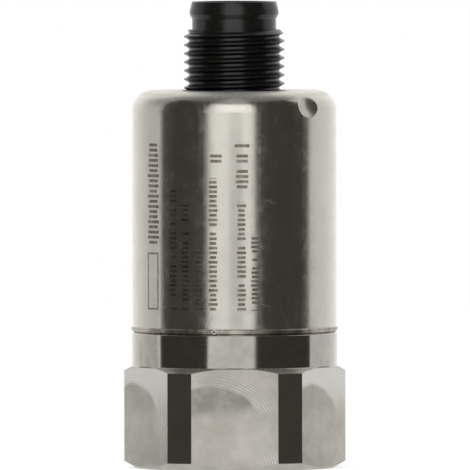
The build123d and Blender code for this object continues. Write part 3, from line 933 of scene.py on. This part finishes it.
@dataclass(frozen=True)
class ThreadCoil:
    """A coil with the section of the space between a thread's turns, which cuts a right-hand thread.

    Attributes:
        root_radius: Where its narrow side runs.
        mouth_radius: Where its wide side runs.
        root_width: Width of the narrow side, along the axis.
        mouth_width: Width of the wide side, less than the pitch.
        pitch: Rise in one turn.
        start: Height of its middle where it starts.
        turns: How many turns it has.
        steps: How many straight steps make one turn.
        floor: Height under which the coil is cut off, if there is one.
    """

    root_radius: float
    mouth_radius: float
    root_width: float
    mouth_width: float
    pitch: float
    start: float
    turns: int
    steps: int = 72
    floor: float | None = None

    def build(self) -> Piece:
        """Makes the coil from a plane, narrowed at its root, wound up and closed at both ends.

        Returns:
            The coil.
        """
        put_down()
        depth = abs(self.mouth_radius - self.root_radius)
        centre = Vector(((self.root_radius + self.mouth_radius) / 2, 0, self.start))
        bpy.ops.mesh.primitive_plane_add(size=depth, location=centre, rotation=(pi / 2, 0, 0))
        coil = name_piece(bpy.context.object, "thread_coil")
        pick_all(coil)
        bpy.ops.transform.resize(value=(1, 1, self.mouth_width / depth), center_override=centre)
        pick(coil, lambda place: abs(place.x - self.root_radius) < depth / 2)
        bpy.ops.transform.resize(value=(1, 1, self.root_width / self.mouth_width), center_override=centre)
        bpy.ops.object.mode_set(mode="OBJECT")
        apply_modifier(
            coil,
            "SCREW",
            axis="Z",
            angle=FULL_TURN,
            screw_offset=self.pitch,
            iterations=self.turns,
            steps=self.steps,
            render_steps=self.steps,
        )
        pick_all(coil)
        bpy.ops.mesh.remove_doubles(threshold=MERGE_DISTANCE)
        bpy.ops.mesh.fill_holes(sides=4)
        bpy.ops.mesh.select_all(action="SELECT")
        bpy.ops.mesh.normals_make_consistent(inside=False)
        if self.floor is not None:
            bpy.ops.mesh.bisect(
                plane_co=(0, 0, self.floor), plane_no=(0, 0, 1), use_fill=True, clear_inner=True
            )
        bpy.ops.object.mode_set(mode="OBJECT")
        return coil


@dataclass
class HexagonFoot:
    """Steel foot with milled flats, a turned collar and the tapped port.

    Attributes:
        flat_distance: Distance of a flat from the axis.
        flat_tolerance: How far the middle of a flat's face may lie off that.
        flat_azimuths: Directions of the flats in degrees from +X.
        edge_break: Width of the small break on its edges.
        broken_angle: Angle in degrees from which an edge is broken.
        sharp_angle: Angle in degrees from which an edge stays sharp.
        collar_low: Height where the collar starts.
        chamfer_inner: Radius outside which the chamfers lie.
        corner_low: Height over which the round corners start.
        corner_high: Height under which they end.
        port_radius: Radius inside which the port's faces lie.
        port_low: Height over which they start.
        port_top: Height under which they end.
        thread: Coil that cuts the port's thread.
    """

    flat_distance: float = 12.05 * MM
    flat_tolerance: float = 0.004 * MM
    flat_azimuths: range = range(30, 390, 60)
    edge_break: float = 0.035 * MM
    broken_angle: float = 15.0
    sharp_angle: float = 32.0
    collar_low: float = 11.95 * MM
    chamfer_inner: float = 11.7 * MM
    corner_low: float = 1.2 * MM
    corner_high: float = 11.0 * MM
    port_radius: float = 6.9 * MM
    port_low: float = 0.01 * MM
    port_top: float = 13.2 * MM
    thread: ThreadCoil = field(
        default_factory=lambda: ThreadCoil(
            root_radius=6.56 * MM,
            mouth_radius=5.62 * MM,
            root_width=0.2 * MM,
            mouth_width=1.2 * MM,
            pitch=1.337 * MM,
            start=-1.0 * MM,
            turns=10,
        )
    )

    def build(self) -> Piece:
        """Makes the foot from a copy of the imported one, with broken edges and the port's thread.

        Returns:
            The foot.
        """
        foot = merged_copy("hexagon_foot", "foot_body")
        apply_modifier(
            foot,
            "BEVEL",
            width=self.edge_break,
            segments=2,
            limit_method="ANGLE",
            angle_limit=radians(self.broken_angle),
        )
        cut_with(foot, self.thread.build())
        smooth(foot, self.sharp_angle)
        return foot

    def dress(self, foot: Piece) -> None:
        """Gives the foot its finishes: turned, chamfered, bar, milled and tapped."""
        finishes = (
            (TURNED_STEEL, lambda place: True),
            (CHAMFER_STEEL, self.on_chamfer),
            (CORNER_STEEL, self.on_corner),
            (FLAT_STEEL, self.on_flat),
            (PORT_STEEL, self.in_port),
        )
        give_materials(foot, [finish.material() for finish, _ in finishes])
        for slot, (_, wanted) in enumerate(finishes):
            paint_faces(foot, slot, wanted)

    def reach(self, place: Vector) -> float:
        """How far a place lies along the direction of its nearest flat."""
        azimuths = [radians(azimuth) for azimuth in self.flat_azimuths]
        return max(place.x * cos(azimuth) + place.y * sin(azimuth) for azimuth in azimuths)

    def on_flat(self, place: Vector) -> bool:
        """Whether a face with this middle is one of the flats."""
        off_flat = abs(self.reach(place) - self.flat_distance)
        return place.z < self.collar_low and off_flat < self.flat_tolerance

    def on_chamfer(self, place: Vector) -> bool:
        """Whether a face with this middle lies on the upper or lower chamfer."""
        return place.z < self.collar_low and radius_of(place) > self.chamfer_inner

    def on_corner(self, place: Vector) -> bool:
        """Whether a face with this middle lies between two flats."""
        return radius_of(place) > self.flat_distance and self.corner_low < place.z < self.corner_high

    def in_port(self, place: Vector) -> bool:
        """Whether a face with this middle belongs to the port."""
        return radius_of(place) < self.port_radius and self.port_low < place.z < self.port_top


@dataclass
class HousingWeld:
    """Laser weld bead round the sensor, with its ripples and the pit where the beam stopped.

    Attributes:
        radius: Radius of the middle of the bead's section.
        height: Height of that middle.
        half_depth: Half of the section's size across the axis.
        half_height: Half of its size along the axis.
        section_points: How many points the section has.
        ripples: How many ripples go round.
        columns: How many steps make one ripple.
        swell: How much a ripple's crest swells the section.
        bow: How far a ripple's middle leads its ends, in degrees round the axis.
        bow_start: Share of the half depth from which the section is bowed.
        seam_distance: How near points of neighbouring ripples lie to become one.
        unevenness: How far the molten metal wandered.
        cloud_size: Size of the patches in which it wandered.
        fold_low: Lowest place of the fold under the ridge.
        fold_high: Highest place of the fold.
        fold_depth: How deep the fold goes in its middle.
        pit_azimuth: Place of the end pit, in degrees from the front.
        pit_height: Height of the pit.
        pit_radius: Radius of the ring round the pit.
        pit_ring: Thickness of that ring.
        pit_segments: How many steps go round the pit.
        pit_lip: How far the cup of the pit reaches out of its middle.
    """

    radius: float = 11.9 * MM
    height: float = 16.33 * MM
    half_depth: float = 0.22 * MM
    half_height: float = 0.28 * MM
    section_points: int = 24
    ripples: int = 236
    columns: int = 4
    swell: float = 1.06
    bow: float = 0.5
    bow_start: float = 0.6
    seam_distance: float = 0.004 * MM
    unevenness: float = 0.03 * MM
    cloud_size: float = 0.5 * MM
    fold_low: float = 16.12 * MM
    fold_high: float = 16.3 * MM
    fold_depth: float = 0.1 * MM
    pit_azimuth: float = -11.5
    pit_height: float = 16.29 * MM
    pit_radius: float = 0.2 * MM
    pit_ring: float = 0.1 * MM
    pit_segments: int = 24
    pit_lip: float = 0.01 * MM

    def build(self) -> Piece:
        """Makes one ripple from a ring of points, copies it round the axis and adds the end pit.

        Returns:
            The bead.
        """
        put_down()
        centre = Vector((self.radius, 0, self.height))
        bpy.ops.mesh.primitive_circle_add(
            vertices=self.section_points, radius=self.half_height, location=centre, rotation=(pi / 2, 0, 0)
        )
        bead = name_piece(bpy.context.object, "weld_bead")
        pick_all(bead)
        bpy.ops.transform.resize(value=(self.half_depth / self.half_height, 1, 1), center_override=centre)
        ripple_angle = FULL_TURN / self.ripples
        bpy.ops.mesh.select_all(action="SELECT")
        bpy.ops.mesh.spin(steps=self.columns, angle=ripple_angle, center=(0, 0, 0), axis=(0, 0, 1))
        bpy.ops.object.mode_set(mode="OBJECT")
        crest_angle = self.crest_angle(bead, ripple_angle)
        near = ripple_angle / self.columns / 2
        pick(bead, lambda place: abs(place.y / place.x - tan(crest_angle)) < near)
        crest = Vector((self.radius * cos(crest_angle), self.radius * sin(crest_angle), self.height))
        bpy.ops.transform.resize(value=(self.swell_radially(), 1, self.swell), center_override=crest)
        bpy.ops.object.mode_set(mode="OBJECT")
        self.fold(bead)
        pick(bead, lambda place: radius_of(place) > self.radius + self.half_depth * self.bow_start)
        bpy.ops.transform.rotate(value=radians(self.bow), orient_axis="Z", center_override=(0, 0, 0))
        pick_all(bead)
        bpy.ops.mesh.spin(steps=self.ripples, angle=FULL_TURN, center=(0, 0, 0), axis=(0, 0, 1), dupli=True)
        bpy.ops.mesh.select_all(action="SELECT")
        bpy.ops.mesh.remove_doubles(threshold=self.seam_distance)
        bpy.ops.mesh.select_all(action="SELECT")
        bpy.ops.mesh.normals_make_consistent(inside=False)
        bpy.ops.object.mode_set(mode="OBJECT")
        self.wander(bead)
        self.add_pit(bead)
        take_up(bead)
        bpy.ops.object.shade_smooth()
        return bead

    def fold(self, bead: Piece) -> None:
        """Presses the fold into the first ripple, in two steps so that it narrows inwards."""
        middle = (self.fold_low + self.fold_high) / 2
        width = self.fold_high - self.fold_low
        for half_width in (width / 2, width / 4):
            pick(bead, lambda place: radius_of(place) > self.radius and abs(place.z - middle) < half_width)
            bpy.ops.transform.translate(value=(-self.fold_depth / 2, 0, 0))
            bpy.ops.object.mode_set(mode="OBJECT")

    def crest_angle(self, bead: Piece, ripple_angle: float) -> float:
        """Angle of the ripple's crest, on the side to which the ring was spun."""
        side = sum(vertex.co.y for vertex in bead.data.vertices)
        return (1 if side > 0 else -1) * ripple_angle / 2

    def swell_radially(self) -> float:
        """Swelling across the axis, which is stronger than that along it."""
        return 1 + 2 * (self.swell - 1)

    def wander(self, bead: Piece) -> None:
        """Moves the bead's surface a little in and out, as molten metal sets."""
        clouds = bpy.data.textures.new("molten metal", "CLOUDS")
        clouds.noise_scale = self.cloud_size
        clouds.noise_depth = 2
        apply_modifier(
            bead, "DISPLACE", texture=clouds, texture_coords="LOCAL", strength=self.unevenness, mid_level=0.5
        )

    def pit_direction(self) -> Vector:
        """Direction from the axis to the pit."""
        azimuth = radians(self.pit_azimuth)
        return Vector((sin(azimuth), -cos(azimuth), 0))

    def pit_place(self) -> Vector:
        """Middle of the ring round the pit."""
        return self.pit_direction() * (self.radius + self.half_depth) + Vector((0, 0, self.pit_height))

    def add_pit(self, bead: Piece) -> None:
        """Opens the bead at the end pit, sinks a cup there and lays the ring of metal round it."""
        outward = self.pit_direction()
        turn = outward.to_track_quat("Z", "Y").to_euler()
        pit = self.pit_place()
        pick(bead, lambda place: (place - pit).length < self.pit_radius, by_face=True)
        bpy.ops.mesh.delete(type="FACE")
        bpy.ops.object.mode_set(mode="OBJECT")
        put_down()
        bpy.ops.mesh.primitive_uv_sphere_add(
            segments=self.pit_segments,
            ring_count=self.pit_segments // 2,
            radius=self.pit_radius,
            location=pit,
            rotation=turn,
        )
        cup = name_piece(bpy.context.object, "pit_cup")
        pick(cup, lambda place: (place - pit).dot(outward) > self.pit_lip)
        bpy.ops.mesh.delete(type="VERT")
        bpy.ops.mesh.select_all(action="SELECT")
        bpy.ops.mesh.flip_normals()
        bpy.ops.object.mode_set(mode="OBJECT")
        put_down()
        bpy.ops.mesh.primitive_torus_add(
            major_radius=self.pit_radius,
            minor_radius=self.pit_ring,
            major_segments=28,
            minor_segments=12,
            location=pit,
            rotation=turn,
        )
        ring = name_piece(bpy.context.object, "pit_ring")
        take_up(bead)
        cup.select_set(True)
        ring.select_set(True)
        bpy.ops.object.join()

    def dress(self, bead: Piece) -> None:
        """Gives the bead the finish of weld metal, with a bright ring round the dark pit."""
        give_materials(bead, [WELD_STEEL.material(), PIT_STEEL.material(), PIT_CUP.material()])
        pit = self.pit_place()
        depth = radius_of(pit)
        ring_reach = self.pit_radius + self.pit_ring
        ring_depth = depth - self.pit_ring
        paint_faces(
            bead, 1, lambda place: (place - pit).length < ring_reach and radius_of(place) > ring_depth
        )
        paint_faces(bead, 2, lambda place: (place - pit).length < self.pit_radius and radius_of(place) < depth)


@dataclass
class ConnectorPlug:
    """Black moulded plug with its fine thread.

    Attributes:
        sharp_angle: Angle in degrees from which an edge stays sharp.
        thread: Coil that cuts the thread.
    """

    sharp_angle: float = 24.0
    thread: ThreadCoil = field(
        default_factory=lambda: ThreadCoil(
            root_radius=5.33 * MM,
            mouth_radius=6.02 * MM,
            root_width=0.24 * MM,
            mouth_width=0.98 * MM,
            pitch=1.0 * MM,
            start=43.66 * MM,
            turns=9,
            floor=43.58 * MM,
        )
    )

    def build(self) -> Piece:
        """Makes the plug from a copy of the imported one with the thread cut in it.

        Returns:
            The plug.
        """
        plug = merged_copy("connector_plug", "plug_body")
        cut_with(plug, self.thread.build())
        smooth(plug, self.sharp_angle)
        return plug

    def dress(self, plug: Piece) -> None:
        """Gives the plug the finish of its moulding."""
        give_materials(plug, [PLUG_PLASTIC.material()])


@dataclass
class PackedPieces:
    """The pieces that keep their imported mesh, with the finish of each.

    Attributes:
        finishes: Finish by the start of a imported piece's name.
    """

    finishes: dict[str, Finish] = field(
        default_factory=lambda: {
            "housing_sleeve": SLEEVE_STEEL,
            "contact_pin": CONTACT_GOLD,
            "sensor_cell": CELL_STEEL,
            "cell_weld": WELD_STEEL,
            "strain_bridge": BRIDGE_GLASS,
            "bond_pads": CONTACT_GOLD,
            "bond_wires": CONTACT_GOLD,
            "board_carrier": CARRIER_PLASTIC,
            "spacer_tube": CARRIER_PLASTIC,
            "signal_board": BOARD_LAMINATE,
            "plug_board": BOARD_LAMINATE,
            "signal_chip": PACKAGE_PLASTIC,
            "surge_diode": PACKAGE_PLASTIC,
            "link_header": PACKAGE_PLASTIC,
            "capacitor": CHIP_CERAMIC,
            "resistor": CHIP_CERAMIC,
            "link_pin": TIN_SOLDER,
            "link_solder": TIN_SOLDER,
            "contact_solder": TIN_SOLDER,
            "plug_seal": SEAL_RUBBER,
        }
    )

    def dress(self) -> None:
        """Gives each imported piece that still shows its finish."""
        for name, node in frame["nodes"].items():
            if node.hide_render:
                continue
            finish = next(one for start, one in self.finishes.items() if name.startswith(start))
            for slot in node.material_slots:
                slot.material = finish.material()
            log.info("%s keeps its mesh and is dressed in %s", name, finish.name)


@dataclass(frozen=True)
class Flag:
    """Black card of the light tent, as the housing shows it.

    Attributes:
        start: Azimuth of its left edge in degrees from the front.
        end: Azimuth of its right edge.
        soft_start: Half of the soft width of its left edge.
        soft_end: Half of the soft width of its right edge.
        lean: How far its left edge leans back towards its top, in degrees.
    """

    start: float
    end: float
    soft_start: float
    soft_end: float
    lean: float = 0.0


@dataclass(frozen=True)
class Lamp:
    """Square soft lamp that points at the sensor and doesn't show in gloss.

    Attributes:
        name: Its name.
        place: Where it hangs, in metres.
        size: Its side in metres.
        power: Its power in watts.
    """

    name: str
    place: tuple[float, float, float]
    size: float
    power: float

    def hang(self) -> None:
        """Hangs the lamp."""
        data = bpy.data.lights.new(self.name, "AREA")
        data.size = self.size
        data.energy = self.power
        lamp = bpy.data.objects.new(self.name, data)
        lamp.location = self.place
        lamp.rotation_euler = (-Vector(self.place)).to_track_quat("-Z", "Y").to_euler()
        lamp.visible_glossy = False
        bpy.context.scene.collection.objects.link(lamp)


@dataclass(frozen=True)
class TentPlace:
    """Where a place of the tent lies, as outputs of the nodes of its material.

    Attributes:
        height: Its height.
        across: Its distance from the axis.
        azimuth: Its azimuth in degrees from the front.
        off_front: That azimuth without its sign.
        elevation: Its angle over the level of the tent's eye, in degrees.
        tilt: Its angle from the front, over the zenith to the back, in degrees.
    """

    height: Socket
    across: Socket
    azimuth: Socket
    off_front: Socket
    elevation: Socket
    tilt: Socket


@dataclass
class LightTent:
    """Round tent round the sensor, which only gloss shows: window, walls, ceiling and black cards.

    Azimuths, elevations and tilts are pairs in degrees, between which one light turns into the next.

    Attributes:
        radius: Distance of the tent's wall from the axis.
        low: Height of its lower end, just over the floor.
        top: Height of its upper end.
        eye: Height from which elevations count.
        flags: The black cards on its wall.
        black: Radiance of the black cards.
        flag_top: Elevations between which the cards fade into the ceiling.
        lean_rise: Elevations between which a card's left edge leans back.
        window_side: Azimuths between which what belongs to the front window ends.
        window_top: Elevations between which the front window ends.
        window_gain: What the front window gains towards its upper end.
        gain_rise: Elevations between which it gains that.
        side_rise: How much higher the walls beside and behind the sensor end, in degrees.
        side_start: Azimuths between which the walls beside the sensor start.
        back_start: Azimuths between which they turn into the wall behind it.
        rear: Radiance of the wall beside the sensor, on the left and on the right, and behind it.
        corner_back: Azimuths between which the shaded upper corner on the left ends towards the back.
        corner_front: Azimuths between which it ends towards the front.
        corner_rise: Elevations between which it gets its shade.
        corner_shade: Share of its light that it lacks.
        ceiling_side: Radiance of the ceiling over the black cards, in front and at the zenith.
        side_tilt: Tilts between which that changes.
        ceiling_front: Radiance of the ceiling over the front window.
        ceiling_back: What the ceiling gains towards the back.
        back_tilt: Tilts between which it gains that.
        painted_floor_shadow: Distances from the axis between which the painted shadow of the sensor on the
            floor, as gloss shows it, ends.
        painted_floor_shadow_level: Radiance of that painted shadow.
        streak: From and to azimuth of the dim strip in the front window.
        streak_softness: Half of the soft width of its edges.
        streak_level: Radiance of that strip.
        streak_low: Elevations between which the strip starts.
        streak_high: Elevations between which it ends.
        collar_softness: Share of the soft width that the cards' right edges keep below the strip's start.
        collar_shade: What the front window lacks there.
    """

    radius: float = 90 * MM
    low: float = 0.02 * MM
    top: float = 260 * MM
    eye: float = 43 * MM
    flags: tuple[Flag, ...] = (Flag(-86.7, -27.8, 1.5, 4.0, 5.5), Flag(21.3, 88.3, 2.5, 2.0))
    black: Colour = (0.056, 0.052, 0.046)
    flag_top: Span = (48.0, 64.0)
    lean_rise: Span = (5.0, 45.0)
    window_side: Span = (14.0, 34.0)
    window_top: Span = (40.5, 42.5)
    window_gain: float = 0.34
    gain_rise: Span = (-9.0, 12.0)
    side_rise: float = 8.5
    side_start: Span = (88.0, 92.0)
    back_start: Span = (95.0, 165.0)
    rear: tuple[float, float, float] = (0.63, 0.74, 1.08)
    corner_back: Span = (-145.0, -105.0)
    corner_front: Span = (-80.0, 0.0)
    corner_rise: Span = (8.0, 36.0)
    corner_shade: float = 0.42
    ceiling_side: Span = (0.2, 0.33)
    side_tilt: Span = (70.0, 110.0)
    ceiling_front: float = 0.42
    ceiling_back: float = 0.95
    back_tilt: Span = (100.0, 150.0)
    painted_floor_shadow: Span = (14 * MM, 17 * MM)
    painted_floor_shadow_level: float = 0.75
    streak: Span = (-5.0, 8.5)
    streak_softness: float = 2.5
    streak_level: float = 0.62
    streak_low: Span = (-18.6, -17.8)
    streak_high: Span = (-3.0, 2.0)
    collar_softness: float = 0.25
    collar_shade: float = 0.15

    def build(self) -> None:
        """Stands the tent round the sensor."""
        put_down()
        bpy.ops.mesh.primitive_cylinder_add(
            vertices=256,
            radius=self.radius,
            depth=self.top - self.low,
            location=(0, 0, (self.top + self.low) / 2),
            end_fill_type="TRIFAN",
        )
        tent = name_piece(bpy.context.object, "light_tent")
        material, bench = new_material("tent cloth")
        glow = bench.add("ShaderNodeEmission", {"Color": self.colour(bench)})
        bench.feed(bench.tree.nodes["Material Output"].inputs["Surface"], glow.outputs[0])
        give_materials(tent, [material])
        tent.visible_camera = False
        tent.visible_diffuse = False
        tent.visible_shadow = False
        tent.visible_transmission = False

    def colour(self, bench: NodeBench) -> Socket:
        """Colour that the tent gives off, from the direction in which a place of it lies.

        Args:
            bench: The bench of the tent's material.

        Returns:
            The colour.
        """
        at = self.place(bench)
        over_window = bench.ramp(at.off_front, *self.window_side, 1.0, 0.0)
        beyond = bench.times(bench.minus(1.0, over_window), self.side_rise)
        under = bench.ramp(bench.minus(at.elevation, beyond), *self.window_top, 1.0, 0.0)
        wall, ceiling = self.wall(bench, at, over_window), self.ceiling(bench, at, over_window)
        level = bench.blend(under, wall, ceiling)
        # Painted shadow: the floor round the sensor is darker in gloss, standing in for the sensor's shadow on
        # it.
        on_floor = bench.math("LESS_THAN", at.height, 2 * self.low)
        near = bench.times(on_floor, bench.ramp(at.across, *self.painted_floor_shadow, 1.0, 0.0))
        level = bench.blend(near, self.painted_floor_shadow_level, level)
        flagged = bench.times(self.flagged(bench, at), bench.minus(1.0, near))
        shade = bench.add("ShaderNodeCombineColor", {"Red": level, "Green": level, "Blue": level})
        return bench.mix(flagged, shade.outputs[0], self.black)

    def place(self, bench: NodeBench) -> TentPlace:
        """Where a place of the tent lies."""
        x, y, z = bench.lengths()
        ahead = bench.times(y, -1.0)
        across = bench.math("SQRT", bench.plus(bench.times(x, x), bench.times(ahead, ahead)))
        rise = bench.minus(z, self.eye)
        azimuth = bench.math("DEGREES", bench.from_front(x, y))
        elevation = bench.math("DEGREES", bench.math("ARCTAN2", rise, across))
        tilt = bench.math("DEGREES", bench.math("ARCTAN2", bench.largest(rise, 0.0), ahead))
        return TentPlace(z, across, azimuth, bench.amount(azimuth), elevation, tilt)

    def wall(self, bench: NodeBench, at: TentPlace, over_window: Socket) -> Socket:
        """Radiance of the wall: the front window with its dim strip, and the walls beside and behind."""
        left_wall, right_wall, back_wall = self.rear
        beside = bench.ramp(at.azimuth, -90.0, 90.0, left_wall, right_wall)
        rear = bench.ramp(at.off_front, *self.back_start, beside, back_wall)
        corner = bench.times(
            bench.ramp(at.azimuth, *self.corner_back),
            bench.ramp(at.azimuth, *self.corner_front, 1.0, 0.0),
            bench.ramp(at.elevation, *self.corner_rise),
            self.corner_shade,
        )
        rear = bench.times(rear, bench.minus(1.0, corner))
        level = bench.blend(bench.ramp(at.off_front, *self.side_start, 1.0, 0.0), 1.0, rear)
        left, right = self.streak
        dimmed = bench.times(
            bench.ramp(at.azimuth, left - self.streak_softness, left + self.streak_softness),
            bench.ramp(at.azimuth, right - self.streak_softness, right + self.streak_softness, 1.0, 0.0),
            bench.ramp(at.elevation, *self.streak_low),
            bench.ramp(at.elevation, *self.streak_high, 1.0, 0.0),
            1.0 - self.streak_level,
        )
        higher = bench.ramp(at.elevation, *self.gain_rise, 0.0, self.window_gain)
        lower = bench.ramp(at.elevation, *self.streak_low, -self.collar_shade, 0.0)
        brighter = bench.times(over_window, bench.plus(higher, lower))
        return bench.plus(bench.minus(level, dimmed), brighter)

    def ceiling(self, bench: NodeBench, at: TentPlace, over_window: Socket) -> Socket:
        """Radiance of the ceiling, over the front window, over the black cards and behind."""
        over_cards = bench.ramp(at.tilt, *self.side_tilt, *self.ceiling_side)
        front = bench.blend(over_window, self.ceiling_front, over_cards)
        return bench.plus(front, bench.ramp(at.tilt, *self.back_tilt, 0.0, self.ceiling_back))

    def flagged(self, bench: NodeBench, at: TentPlace) -> Socket:
        """One on the black cards and none beside them."""
        softness = bench.ramp(at.elevation, *self.streak_low, self.collar_softness, 1.0)
        upright = bench.ramp(at.elevation, *self.lean_rise)
        cards = []
        for flag in self.flags:
            leaning = bench.plus(at.azimuth, bench.times(upright, flag.lean))
            after_start = bench.ramp(leaning, flag.start - flag.soft_start, flag.start + flag.soft_start)
            half = bench.times(softness, flag.soft_end)
            before_end = bench.ramp(
                at.azimuth, bench.minus(flag.end, half), bench.plus(flag.end, half), 1.0, 0.0
            )
            cards.append(bench.times(after_start, before_end))
        return bench.times(bench.largest(*cards), bench.ramp(at.elevation, *self.flag_top, 1.0, 0.0))


@dataclass
class Studio:
    """Pale floor, soft light, the tent that gloss shows and the camera.

    Attributes:
        tent: The light tent.
        floor_radius: Radius of the floor.
        floor_tone: Tone of the floor under the light.
        floor_glow: What the floor gives off to the camera, so that it looks white.
        room_light: Strength of the white room on the sensor, and where it is seen.
        lamps: The soft lamps.
        view_distance: Distance of the camera.
        view_elevation: Its elevation in degrees.
        view_width: Width of the view at the sensor.
        view_height: Height at which the camera looks.
        view_side: How far right of the axis it looks.
        view_roll: Its roll in degrees.
        sensor_width: Width of its sensor in millimetres.
    """

    tent: LightTent = field(default_factory=LightTent)
    floor_radius: float = 0.6
    floor_tone: float = 0.5
    floor_glow: float = 0.6
    room_light: Span = (0.7, 1.0)
    lamps: tuple[Lamp, ...] = (
        Lamp("key_lamp", (-0.5, -0.6, 0.8), 0.6, 7.0),
        Lamp("fill_lamp", (0.6, -0.3, 0.7), 0.8, 3.0),
    )
    view_distance: float = 2.4
    view_elevation: float = 1.6
    view_width: float = 55.25 * MM
    view_height: float = 27.33 * MM
    view_side: float = 0.06 * MM
    view_roll: float = -0.1
    sensor_width: float = 36.0

    def build(self) -> None:
        """Makes the studio."""
        self.floor()
        self.tent.build()
        self.light()
        self.camera()
        log.info("studio ready")

    def floor(self) -> None:
        """Lays the round pale floor, which looks white and keeps the shadow."""
        put_down()
        bpy.ops.mesh.primitive_circle_add(vertices=128, radius=self.floor_radius, fill_type="NGON")
        floor = name_piece(bpy.context.object, "studio_floor")
        material, bench = new_material("floor paper")
        shader = bench.tree.nodes["Principled BSDF"]
        shader.inputs["Base Color"].default_value = (self.floor_tone, self.floor_tone, self.floor_tone, 1)
        shader.inputs["Roughness"].default_value = 0.9
        shader.inputs["Specular IOR Level"].default_value = 0.0
        shader.inputs["Emission Color"].default_value = (*WHITE, 1)
        bench.feed(shader.inputs["Emission Strength"], bench.times(seen_directly(bench), self.floor_glow))
        give_materials(floor, [material])

    def light(self) -> None:
        """Sets the white world and the soft lamps above."""
        world = bpy.data.worlds.new("white room")
        bpy.context.scene.world = world
        world.use_nodes = True
        bench = NodeBench(world.node_tree)
        background = bench.tree.nodes["Background"]
        background.inputs["Color"].default_value = (*WHITE, 1)
        strength = bench.ramp(seen_directly(bench), 0.0, 1.0, *self.room_light)
        bench.feed(background.inputs["Strength"], strength)
        for lamp in self.lamps:
            lamp.hang()

    def camera(self) -> None:
        """Places the long camera of the photograph's view."""
        data = bpy.data.cameras.new("camera")
        data.sensor_width = self.sensor_width
        data.lens = self.sensor_width * self.view_distance / self.view_width
        data.clip_start = 0.1
        data.clip_end = 10.0
        camera = bpy.data.objects.new("camera", data)
        elevation = radians(self.view_elevation)
        aim = Vector((self.view_side, 0, self.view_height))
        back = Vector((0, -cos(elevation), sin(elevation)))
        camera.location = aim + back * self.view_distance
        roll = Quaternion(back, radians(self.view_roll))
        camera.rotation_euler = (roll @ (-back).to_track_quat("-Z", "Y")).to_euler()
        bpy.context.scene.collection.objects.link(camera)
        bpy.context.scene.camera = camera


def seen_directly(bench: NodeBench) -> Socket:
    """One for camera, glossy and transmission rays, and none for the others."""
    path = bench.add("ShaderNodeLightPath")
    seen = bench.math("MAXIMUM", path.outputs["Is Camera Ray"], path.outputs["Is Glossy Ray"])
    return bench.math("MAXIMUM", seen, path.outputs["Is Transmission Ray"])


def main() -> None:
    """Builds each sub-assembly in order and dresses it."""
    logging.basicConfig(level=logging.INFO, format="%(name)s: %(message)s")
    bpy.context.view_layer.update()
    bpy.context.scene.view_settings.view_transform = "Standard"

    for maker, node, slot in (
        (HexagonFoot(), "hexagon_foot", "turned_steel"),
        (HousingWeld(), "housing_weld", "weld_steel"),
        (ConnectorPlug(), "connector_plug", "plug_plastic"),
    ):
        piece = maker.build()
        maker.dress(piece)
        hand_over(piece, node)
    PackedPieces().dress()
    Studio().build()


if __name__ == "__main__":
    main()
